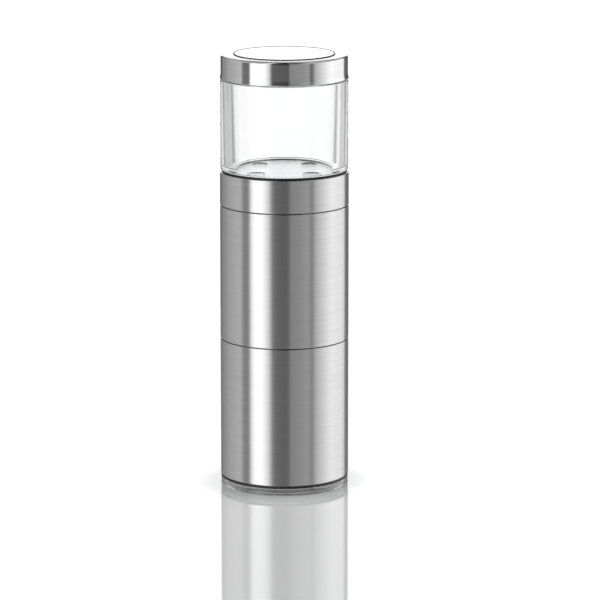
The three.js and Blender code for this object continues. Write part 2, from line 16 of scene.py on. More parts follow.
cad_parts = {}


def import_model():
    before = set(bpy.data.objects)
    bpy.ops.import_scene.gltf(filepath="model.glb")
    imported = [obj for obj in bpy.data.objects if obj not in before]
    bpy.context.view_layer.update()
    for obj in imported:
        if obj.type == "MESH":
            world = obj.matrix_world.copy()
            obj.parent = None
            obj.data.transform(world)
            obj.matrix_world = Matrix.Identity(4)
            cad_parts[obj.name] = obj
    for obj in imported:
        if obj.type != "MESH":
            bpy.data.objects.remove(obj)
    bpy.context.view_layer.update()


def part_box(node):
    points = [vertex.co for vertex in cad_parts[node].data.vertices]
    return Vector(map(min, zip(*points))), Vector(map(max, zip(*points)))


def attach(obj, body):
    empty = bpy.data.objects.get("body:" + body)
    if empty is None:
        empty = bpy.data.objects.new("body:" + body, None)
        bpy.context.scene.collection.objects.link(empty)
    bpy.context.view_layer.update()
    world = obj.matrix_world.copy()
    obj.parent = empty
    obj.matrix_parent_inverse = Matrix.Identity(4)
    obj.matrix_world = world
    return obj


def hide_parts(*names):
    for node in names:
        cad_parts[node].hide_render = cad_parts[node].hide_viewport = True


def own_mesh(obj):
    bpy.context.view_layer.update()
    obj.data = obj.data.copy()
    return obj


LOG = logging.getLogger("nutmeg_mill")
MM = 0.001
FULL_TURN = 2 * math.pi
JAR_STEPS = 256
FINE_STEPS = 192
FLOOR_STEPS = 128
SMALL_STEPS = 48
BAR_STEPS = 40
SPIKE_STEPS = 24
SEAL_SIDES = 20
SHARP_ANGLE = math.radians(28)
ROUND_SEGMENTS = 4
FLAT_EDGE = 0.12 * MM
LEAST_FLAT = 4 * FLAT_EDGE
SAME_POINT = 1e-6
SAME_POLE = 1e-7
CLEAR_CUT = 1.0
SHORT_CUT = 0.5
HALF_TURN_DEGREES = 180

# The Mix node's first and second colour and its colour result
COLOUR_SOCKETS = (6, 7, 2)

# What two bodies share, in millimetres: the plunger and its guide, and the halves and their bearing
PLUNGER_TRAVEL = 28.0
GUIDE_LUG_HEIGHT = 3.0
RIDGE_DROP = 2.4

Shell = bmesh.types.BMesh
Range = tuple[float, float]
Place = tuple[float, float]
Colour = tuple[float, float, float]


class Ease(float, Enum):
    """Radii that ease the corners of a profile, in millimetres."""

    HAIR = 0.05
    BLADE = 0.08
    CRISP = 0.1
    FINE = 0.15
    SMALL = 0.2
    SLIGHT = 0.25
    SOFT = 0.3
    BROKEN = 0.4
    ROUND = 0.5
    FULL = 0.6
    WIDE = 0.8


class Finish(Enum):
    """The finishes of the mill, each with the slot of its record that it belongs to."""

    BARREL_STEEL = ("barrel_steel", "brushed_steel")
    LID_STEEL = ("lid_steel", "brushed_steel")
    BLADE_STEEL = ("blade_steel", "blade_steel")
    INLAY_STEEL = ("inlay_steel", "blade_steel")
    CLEAR_ACRYLIC = ("clear_acrylic", "clear_acrylic")
    BLACK_PLASTIC = ("black_plastic", "black_plastic")
    PALE_PLASTIC = ("pale_plastic", "pale_plastic")
    BLACK_RUBBER = ("black_rubber", "black_rubber")

    @property
    def label(self) -> str:
        """The material's name."""
        return self.value[0]

    @property
    def slot(self) -> str:
        """The record's slot."""
        return self.value[1]


class Shade:
    """A shader socket that takes part in Python expressions and adds its Math nodes."""

    def __init__(self, recipe: Recipe, socket: bpy.types.NodeSocket) -> None:
        """Wraps one output socket of a recipe."""
        self.recipe = recipe
        self.socket = socket

    def maths(self, operation: str, *others: Shade | float) -> Shade:
        """Adds one Math node.

        Args:
            operation: the Math node's operation.
            others: the values after this one.

        Returns:
            The node's value.
        """
        values = {0: self, **{index + 1: other for index, other in enumerate(others)}}
        return self.recipe.node("ShaderNodeMath", {"operation": operation}, values, 0)

    def __add__(self, other: Shade | float) -> Shade:
        """This value plus another."""
        return self.maths("ADD", other)

    __radd__ = __add__

    def __sub__(self, other: Shade | float) -> Shade:
        """This value less another."""
        return self.maths("SUBTRACT", other)

    def __rsub__(self, other: float) -> Shade:
        """A number less this value."""
        return self.maths("MULTIPLY", -1.0) + other

    def __mul__(self, other: Shade | float) -> Shade:
        """This value times another."""
        return self.maths("MULTIPLY", other)

    __rmul__ = __mul__

    def __truediv__(self, other: Shade | float) -> Shade:
        """This value over another."""
        return self.maths("DIVIDE", other)

    def __pow__(self, other: Shade | float) -> Shade:
        """This value to a power."""
        return self.maths("POWER", other)

    def ramped(self, over: Range, low: float = 0.0, high: float = 1.0) -> Shade:
        """Maps a range smoothly onto low..high, held at both ends.

        Args:
            over: the range to map.
            low: the result at the range's start.
            high: the result at its end.

        Returns:
            The mapped value.
        """
        start, end = over
        values = {"Value": self, "From Min": start, "From Max": end, "To Min": low, "To Max": high}
        settings = {"interpolation_type": "SMOOTHSTEP"}
        return self.recipe.node("ShaderNodeMapRange", settings, values, "Result")

    def mixed(self, other: Shade | float, share: Shade) -> Shade:
        """This value, giving way to another by a share from 0 to 1."""
        return self * (1 - share) + share * other


class Recipe:
    """The node tree of one material or of the surroundings."""

    def __init__(self, tree: bpy.types.NodeTree) -> None:
        """Starts from an empty tree."""
        self.tree = tree
        self.tree.nodes.clear()

    def add(self, kind: str, settings: dict[str, Any], values: dict[Any, Any]) -> bpy.types.Node:
        """Adds a node.

        Args:
            kind: the node's type.
            settings: its properties, set before its sockets.
            values: numbers, colours or links of its input sockets, by name or place.

        Returns:
            The node.
        """
        node = self.tree.nodes.new(kind)
        for name, value in settings.items():
            if name == "stops":
                self.set_stops(node.color_ramp, value)
            else:
                setattr(node, name, value)
        for name, value in values.items():
            if isinstance(value, Shade):
                self.tree.links.new(value.socket, node.inputs[name])
            else:
                node.inputs[name].default_value = value
        return node

    def node(self, kind: str, settings: dict[str, Any], values: dict[Any, Any], output: str | int) -> Shade:
        """Adds a node and gives one of its outputs."""
        return Shade(self, self.add(kind, settings, values).outputs[output])

    @staticmethod
    def set_stops(ramp: bpy.types.ColorRamp, stops: Sequence[Range]) -> None:
        """Writes a grey ramp's stops, each a place and a level.

        Args:
            ramp: the ramp.
            stops: its stops.
        """
        while len(ramp.elements) < len(stops):
            ramp.elements.new(0.5)
        for element, (place, level) in zip(ramp.elements, sorted(stops), strict=True):
            element.position = place
            element.color = (level, level, level, 1)

    def place(self) -> tuple[Shade, Shade, Shade]:
        """The point's own coordinates on the mill, in millimetres.

        Returns:
            Its X, Y and Z.
        """
        whole = self.node("ShaderNodeTexCoord", {}, {}, "Object")
        parts = self.add("ShaderNodeSeparateXYZ", {}, {0: whole})
        return tuple(Shade(self, parts.outputs[axis]) / MM for axis in "XYZ")

    def grain(self, x: Shade | float, y: Shade | float, z: Shade | float, detail: float = 2.0) -> Shade:
        """Noise from 0 to 1 at the given coordinates."""
        at = self.node("ShaderNodeCombineXYZ", {}, {"X": x, "Y": y, "Z": z}, 0)
        return self.node("ShaderNodeTexNoise", {}, {"Vector": at, "Scale": 1.0, "Detail": detail}, "Fac")

    def mottle(self, place: Sequence[Shade], scale: float, detail: float = 2.0) -> Shade:
        """Noise from 0 to 1 of one scale all ways."""
        x, y, z = (along * scale for along in place)
        return self.grain(x, y, z, detail)

    def levels(self, stops: Sequence[Range], share: Shade) -> Shade:
        """A grey level read from a ramp's stops."""
        return self.node("ShaderNodeValToRGB", {"stops": stops}, {"Fac": share}, "Color")

    def light_path(self, output: str) -> Shade:
        """What kind of ray asks, or how often it has turned."""
        return self.node("ShaderNodeLightPath", {}, {}, output)

    def blend(self, share: Shade, low: Colour, high: Colour) -> Shade:
        """A colour between two, by a share from 0 to 1.

        Args:
            share: how much of the second colour it has.
            low: the first colour.
            high: the second colour.

        Returns:
            The colour.
        """
        first, second, result = COLOUR_SOCKETS
        values = {"Factor": share, first: (*low, 1), second: (*high, 1)}
        return self.node("ShaderNodeMix", {"data_type": "RGBA"}, values, result)

    def bump(self, height: Shade, strength: float, distance: float) -> Shade:
        """A surface normal that follows a height."""
        values = {"Height": height, "Strength": strength, "Distance": distance}
        return self.node("ShaderNodeBump", {}, values, "Normal")

    def surface(self, values: dict[str, Any]) -> None:
        """Ends the recipe in one Principled shader."""
        shader = self.node("ShaderNodeBsdfPrincipled", {}, values, 0)
        self.add("ShaderNodeOutputMaterial", {}, {"Surface": shader})


@dataclass(frozen=True)
class BrushedSteel:
    """Satin stainless steel with hairlines round the mill's axis.

    The hairlines spread what the steel mirrors along the axis, so it shows upright bands.
    """

    dark: Colour = (0.57, 0.57, 0.575)
    light: Colour = (0.64, 0.64, 0.645)
    roughness: float = 0.29
    roughness_spread: float = 0.05
    anisotropy: float = 1.0
    turn: float = 0.25
    hairline: float = 9.0
    band: float = 1.6
    along: float = 0.05
    fine_share: float = 0.7
    contrast: Range = (0.3, 0.7)

    def dress(self, recipe: Recipe) -> None:
        """Writes the finish: fine and coarse hairlines in the colour and the roughness.

        Args:
            recipe: the material's recipe, still empty.
        """
        x, y, z = recipe.place()
        radius = (x * x + y * y) ** 0.5
        across = z - radius
        fine = recipe.grain(x * self.along, y * self.along, across * self.hairline)
        coarse = recipe.grain(x * self.along, y * self.along, across * self.band)
        share = (fine * self.fine_share + coarse * (1 - self.fine_share)).ramped(self.contrast)
        recipe.surface(
            {
                "Base Color": recipe.blend(share, self.dark, self.light),
                "Metallic": 1.0,
                "Roughness": fine * self.roughness_spread + (self.roughness - self.roughness_spread / 2),
                "Anisotropic": self.anisotropy,
                "Anisotropic Rotation": self.turn,
            }
        )


@dataclass(frozen=True)
class BladeSteel:
    """Bright rolled steel of the blade, the small fittings and the lid's inlay."""

    dark: Colour = (0.66, 0.66, 0.67)
    light: Colour = (0.8, 0.8, 0.81)
    roughness: float = 0.14
    smear: float = 0.1
    grain: float = 0.35
    streak: float = 7.0
    relief: float = 0.05
    depth: float = 0.01
    detail: float = 3.0

    def dress(self, recipe: Recipe) -> None:
        """Writes the finish: a rolled grain along X and faint smears.

        Args:
            recipe: the material's recipe, still empty.
        """
        x, y, z = place = recipe.place()
        rolled = recipe.grain(x * self.grain, y * self.streak, z * self.streak)
        smear = recipe.mottle(place, self.grain, self.detail)
        recipe.surface(
            {
                "Base Color": recipe.blend(rolled, self.dark, self.light),
                "Metallic": 1.0,
                "Roughness": smear * self.smear + self.roughness,
                "Normal": recipe.bump(rolled, self.relief, self.depth * MM),
            }
        )


@dataclass(frozen=True)
class ClearAcrylic:
    """Clear moulded acrylic with a faint haze where hands have been."""

    tint: Colour = (0.985, 0.993, 0.993)
    index: float = 1.49
    haze: float = 0.03
    hazed: Range = (0.45, 0.8)
    patch: float = 0.12
    detail: float = 3.0

    def dress(self, recipe: Recipe) -> None:
        """Writes the finish: clear, with a roughness that drifts.

        Args:
            recipe: the material's recipe, still empty.
        """
        patches = recipe.mottle(recipe.place(), self.patch, self.detail)
        recipe.surface(
            {
                "Base Color": (*self.tint, 1),
                "Roughness": patches.ramped(self.hazed, 0.0, self.haze),
                "IOR": self.index,
                "Transmission Weight": 1.0,
            }
        )


@dataclass(frozen=True)
class MouldedPlastic:
    """Satin moulded plastic with a fine spark-eroded grain."""

    dark: Colour
    light: Colour
    roughness: float
    roughness_spread: float = 0.12
    grain: float = 6.0
    drift: float = 0.15
    detail: float = 3.0
    relief: float = 0.25
    depth: float = 0.012

    def dress(self, recipe: Recipe) -> None:
        """Writes the finish: grain in the relief, drift in the colour and the roughness.

        Args:
            recipe: the material's recipe, still empty.
        """
        place = recipe.place()
        fine = recipe.mottle(place, self.grain)
        wide = recipe.mottle(place, self.drift, self.detail)
        recipe.surface(
            {
                "Base Color": recipe.blend(wide, self.dark, self.light),
                "Roughness": wide * self.roughness_spread + self.roughness,
                "Normal": recipe.bump(fine, self.relief, self.depth * MM),
            }
        )


FINISHES = {
    Finish.BARREL_STEEL: BrushedSteel(),
    Finish.LID_STEEL: BrushedSteel(roughness=0.15),
    Finish.BLADE_STEEL: BladeSteel(),
    Finish.INLAY_STEEL: BladeSteel(light=(0.86, 0.86, 0.87), roughness=0.04, smear=0.03, relief=0.01),
    Finish.CLEAR_ACRYLIC: ClearAcrylic(),
    Finish.BLACK_PLASTIC: MouldedPlastic((0.008, 0.008, 0.009), (0.016, 0.016, 0.017), 0.4),
    Finish.PALE_PLASTIC: MouldedPlastic((0.7, 0.69, 0.64), (0.8, 0.79, 0.74), 0.4),
    Finish.BLACK_RUBBER: MouldedPlastic((0.01, 0.01, 0.01), (0.02, 0.02, 0.02), 0.65),
}


def fresh_material(name: str) -> tuple[bpy.types.Material, Recipe]:
    """A new material and its empty recipe.

    Args:
        name: its name.

    Returns:
        The material and its recipe.
    """
    material = bpy.data.materials.new(name)
    material.use_nodes = True
    return material, Recipe(material.node_tree)


def dressed_materials() -> dict[Finish, bpy.types.Material]:
    """Makes every finish's material.

    Returns:
        The materials, by finish.
    """
    made = {}
    for finish, look in FINISHES.items():
        made[finish], recipe = fresh_material(finish.label)
        look.dress(recipe)
    return made


@dataclass(frozen=True)
class Span:
    """Where a node of the frame stands: its lowest and highest level and its radius, in millimetres."""

    base: float
    top: float
    radius: float

    @classmethod
    def of(cls, node: str) -> Span:
        """Reads a node's box from the frame."""
        low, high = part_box(node)
        return cls(low.z / MM, high.z / MM, max(high.x, high.y) / MM)

    @property
    def height(self) -> float:
        """How tall the node is."""
        return self.top - self.base


@dataclass(frozen=True)
class Corner:
    """One corner of a turned profile, in millimetres, with the radius that eases it."""

    radius: float
    height: float
    ease: float = 0.0


def turned(corners: Sequence[Corner], closed: bool, steps: int = FINE_STEPS) -> Shell:
    """Turns a profile round the mill's axis.

    Args:
        corners: the profile, either from axis to axis or once round a ring's section.
        closed: whether the profile closes on itself.
        steps: how many steps the full turn takes.

    Returns:
        The turned shell, closed and facing out.
    """
    bm = bmesh.new()
    points = [bm.verts.new((c.radius * MM, 0, c.height * MM)) for c in corners]
    pairs = list(zip(points, points[1:]))
    if closed:
        pairs.append((points[-1], points[0]))
    for first, second in pairs:
        bm.edges.new((first, second))
    for point, corner in zip(points, corners):
        if corner.ease > 0:
            bmesh.ops.bevel(
                bm,
                geom=[point],
                affect="VERTICES",
                offset=corner.ease * MM,
                offset_type="OFFSET",
                segments=ROUND_SEGMENTS,
                profile=0.5,
                material=-1,
            )
    keep_flats(bm)
    spin_round(bm, list(bm.verts) + list(bm.edges), steps)
    return bm


def ring(bore: float, radius: float, levels: Range, eases: Sequence[float]) -> Shell:
    """Turns a ring of rectangular section, or a disc where the bore is 0.

    Args:
        bore: its inner radius.
        radius: its outer radius.
        levels: its lowest and highest level.
        eases: the radii of its corners, from the low inner one by the outside to the high inner one.

    Returns:
        The ring's shell.
    """
    base, top = levels
    places = ((bore, base), (radius, base), (radius, top), (bore, top))
    return turned([Corner(*place, ease) for place, ease in zip(places, eases, strict=True)], bore > 0)


def keep_flats(bm: Shell) -> None:
    """Adds a point beside each rounded corner of a profile, so that smooth shading leaves the flats flat.

    Args:
        bm: the profile.
    """
    for point in [v for v in bm.verts if 0 < v.calc_edge_angle(0) < SHARP_ANGLE]:
        for edge in [e for e in point.link_edges if e.calc_length() > LEAST_FLAT]:
            bmesh.utils.edge_split(edge, point, FLAT_EDGE / edge.calc_length())


def spin_round(bm: Shell, geometry: list[Any], steps: int) -> None:
    """Spins geometry through a full turn about the axis and closes the poles.

    Args:
        bm: the shell to spin in.
        geometry: the points and edges to spin.
        steps: how many steps the full turn takes.
    """
    bmesh.ops.spin(
        bm,
        geom=geometry,
        cent=(0, 0, 0),
        axis=(0, 0, 1),
        dvec=(0, 0, 0),
        angle=FULL_TURN,
        steps=steps,
        use_merge=True,
        use_duplicate=False,
    )
    bmesh.ops.remove_doubles(bm, verts=bm.verts, dist=SAME_POLE)
    bmesh.ops.recalc_face_normals(bm, faces=bm.faces)


def block(low: Sequence[float], high: Sequence[float], angle: float = 0.0) -> Shell:
    """A box between two corners in millimetres, turned about the axis.

    Args:
        low: its low corner.
        high: its high corner.
        angle: how far it is turned.

    Returns:
        The block's shell.
    """
    bm = bmesh.new()
    bmesh.ops.create_cube(bm, size=1)
    size = [(b - a) * MM for a, b in zip(low, high)]
    middle = [(a + b) * MM / 2 for a, b in zip(low, high)]
    place = Matrix.Rotation(angle, 4, "Z") @ Matrix.Translation(middle) @ Matrix.Diagonal((*size, 1))
    bmesh.ops.transform(bm, matrix=place, verts=bm.verts)
    return bm


def bar(
    x: float,
    y: float,
    radius: float,
    base: float,
    top: float,
    steps: int = BAR_STEPS,
    foot: float | None = None,
) -> Shell:
    """A round bar along Z in millimetres, tapered where its foot has a radius of its own.

    Args:
        x: the X of its axis.
        y: the Y of its axis.
        radius: its radius.
        base: its lowest level.
        top: its highest level.
        steps: how many sides it has.
        foot: the radius of its foot, if another.

    Returns:
        The bar's shell.
    """
    bm = bmesh.new()
    bmesh.ops.create_cone(
        bm,
        cap_ends=True,
        segments=steps,
        radius1=(radius if foot is None else foot) * MM,
        radius2=radius * MM,
        depth=(top - base) * MM,
    )
    bmesh.ops.translate(bm, vec=(x * MM, y * MM, (base + top) * MM / 2), verts=bm.verts)
    return bm


def around(count: int, make: Callable[[float], Any], start: float = 0.0) -> list[Any]:
    """Makes one thing for each of count equal angles."""
    return [make(start + FULL_TURN * index / count) for index in range(count)]


def circle_places(count: int, radius: float, start: float = 0.0) -> list[Place]:
    """Equally spaced places on a circle round the axis, each an x and a y."""
    return around(count, lambda angle: (radius * math.cos(angle), radius * math.sin(angle)), start)


def spokes(count: int, reach: Range, width: float, levels: Range, start: float = 0.0) -> list[Shell]:
    """Blocks that point out from the axis at equal angles, in millimetres.

    Args:
        count: how many there are.
        reach: where each starts and ends along the radius.
        width: how wide each is.
        levels: its lowest and highest level.
        start: the first one's angle.

    Returns:
        The blocks.
    """
    low = (reach[0], -width / 2, levels[0])
    high = (reach[1], width / 2, levels[1])
    return around(count, lambda angle: block(low, high, angle), start)


def pair(reach: Range, width: float, levels: Range, start: float = 0.0) -> list[Shell]:
    """Two such blocks, one opposite the other."""
    return spokes(2, reach, width, levels, start)


def placed(bm: Shell, name: str, material: bpy.types.Material | None = None) -> bpy.types.Object:
    """Makes a shell an object of the scene; the shell is freed.

    Args:
        bm: the shell; it is freed.
        name: the object's name.
        material: what it is made of, if it is to be seen.

    Returns:
        The object.
    """
    mesh = bpy.data.meshes.new(name)
    bm.to_mesh(mesh)
    bm.free()
    if material:
        mesh.materials.append(material)
    piece = bpy.data.objects.new(name, mesh)
    bpy.context.collection.objects.link(piece)
    return piece


def combined(body: Shell, others: Sequence[Shell], operation: str) -> Shell:
    """Joins other shells to a body, or cuts them from it.

    Args:
        body: the shell to work on; it is freed.
        others: the shells to join or cut; they are freed.
        operation: the Boolean modifier's operation.

    Returns:
        The new shell.
    """
    target = placed(body, "target")
    tools = [placed(other, "tool") for other in others]
    for tool in tools:
        modifier = target.modifiers.new("boolean", "BOOLEAN")
        modifier.operation = operation
        modifier.object = tool
        modifier.solver = "EXACT"
    bpy.context.view_layer.update()
    evaluated = target.evaluated_get(bpy.context.evaluated_depsgraph_get())
    bm = bmesh.new()
    bm.from_mesh(evaluated.to_mesh())
    evaluated.to_mesh_clear()
    for piece in (target, *tools):
        mesh = piece.data
        bpy.data.objects.remove(piece)
        bpy.data.meshes.remove(mesh)
    bmesh.ops.remove_doubles(bm, verts=bm.verts, dist=SAME_POINT)
    bmesh.ops.dissolve_degenerate(bm, edges=bm.edges, dist=SAME_POINT)
    return bm


def carved(body: Shell, cutters: Sequence[Shell]) -> Shell:
    """Cuts shells from a body."""
    return combined(body, cutters, "DIFFERENCE")


def fused(body: Shell, others: Sequence[Shell]) -> Shell:
    """Joins shells to a body."""
    return combined(body, others, "UNION")


@dataclass
class Workshop:
    """Turns shells into named pieces, dresses them and hangs them on the frame."""

    materials: dict[Finish, bpy.types.Material]
    made: int = 0

    def fit(self, bm: Shell, node: str, body: str, finish: Finish) -> bpy.types.Object:
        """Makes a shell the visible form of a node.

        Args:
            bm: the shell; it is freed.
            node: the node that it stands for.
            body: the moving body that it rides on.
            finish: its finish.

        Returns:
            The piece.
        """
        piece = self.add(bm, node + "_finish", body, finish)
        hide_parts(node)
        return piece

    def add(self, bm: Shell, name: str, body: str, finish: Finish) -> bpy.types.Object:
        """Makes a shell a piece of its own.

        Args:
            bm: the shell; it is freed.
            name: the piece's name.
            body: the moving body that it rides on.
            finish: its finish.

        Returns:
            The piece.
        """
        for face in bm.faces:
            face.smooth = True
        for edge in bm.edges:
            edge.smooth = len(edge.link_faces) == 2 and edge.calc_face_angle(0) < SHARP_ANGLE
        piece = placed(bm, name, self.materials[finish])
        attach(piece, body)
        self.made += 1
        LOG.info("%s: %d faces, rides on %s", piece.name, len(piece.data.polygons), body)
        return piece


@dataclass(frozen=True)
class Screw:
    """A pan-head screw with a cross recess, in millimetres."""

    shank: float
    head: float
    point_length: float
    cross_length: float
    head_height: float = 1.1
    point_share: float = 0.6
    cross_width: float = 0.55
    cross_depth: float = 0.6

    def turned_at(self, point: float, face: float, turn: float = 0.0) -> Shell:
        """Makes the screw on the axis.

        Args:
            point: the level of its point.
            face: the level of its head's face, over the point or under it.
            turn: the angle of its recess.

        Returns:
            The screw's shell.
        """
        up = math.copysign(1.0, face - point)
        under_head = face - up * self.head_height
        section = [
            Corner(0, point),
            Corner(self.shank * self.point_share, point),
            Corner(self.shank, point + up * self.point_length),
            Corner(self.shank, under_head),
            Corner(self.head, under_head, Ease.CRISP),
            Corner(self.head, under_head + up * self.head_height / 2, Ease.SOFT),
            Corner(self.head / 2, face, Ease.BROKEN),
            Corner(0, face),
        ]
        base, top = sorted((face - up * self.cross_depth, face + up * CLEAR_CUT))
        low = (-self.cross_length / 2, -self.cross_width / 2, base)
        high = (self.cross_length / 2, self.cross_width / 2, top)
        arms = [block(low, high, angle) for angle in (turn, turn - math.pi / 2)]
        return carved(turned(section, False, SMALL_STEPS), arms)


@dataclass
class SteelTube:
    """A length of drawn steel tube with eased ends: the barrel's sleeves and the collar."""

    node: str
    body: str
    reach: float = 0.0
    wall: float = 0.7
    ease: float = 0.16

    def build(self, workshop: Workshop) -> None:
        """Makes the tube at its node's place, with its foot a little lower where it has a reach.

        Args:
            workshop: what makes the pieces and hangs them on the frame.
        """
        span = Span.of(self.node)
        bore = span.radius - self.wall
        base = span.base - self.reach
        eases = (self.ease / 2, self.ease, self.ease, self.ease / 2)
        tube = ring(bore, span.radius, (base, span.top), eases)
        workshop.fit(tube, self.node, self.body, Finish.BARREL_STEEL)


@dataclass
class BaseCap:
    """Clear cap that the mill stands on: a wide rim, a foot ring and a spigot with slots for three keys."""

    body: str = "base"
    rim_height: float = 2.6
    foot_width: float = 4.0
    foot_step: float = 0.5
    floor: float = 1.8
    spigot_radius: float = 19.5
    spigot_wall: float = 1.5
    key_slots: int = 3
    slot_width: float = 4.6
    slot_depth: float = 0.9
    ease: float = 0.35

    def build(self, workshop: Workshop) -> None:
        """Makes the cap.

        Args:
            workshop: what makes the pieces and hangs them on the frame.
        """
        span = Span.of("base_cap")
        floor_top = self.foot_step + self.floor
        inside = self.spigot_radius - self.spigot_wall
        foot_inside = span.radius - self.foot_width
        section = [
            Corner(0, self.foot_step),
            Corner(foot_inside, self.foot_step, Ease.SMALL),
            Corner(foot_inside, span.base, Ease.SMALL),
            Corner(span.radius, span.base, self.ease),
            Corner(span.radius, self.rim_height, Ease.FINE),
            Corner(self.spigot_radius, self.rim_height, Ease.CRISP),
            Corner(self.spigot_radius, span.top, Ease.BROKEN),
            Corner(inside, span.top, Ease.SOFT),
            Corner(inside, floor_top, Ease.WIDE),
            Corner(0, floor_top),
        ]
        slots = spokes(
            self.key_slots,
            (self.spigot_radius - self.slot_depth, self.spigot_radius + CLEAR_CUT),
            self.slot_width,
            (self.rim_height, span.top + CLEAR_CUT),
        )
        workshop.fit(carved(turned(section, False), slots), "base_cap", self.body, Finish.CLEAR_ACRYLIC)


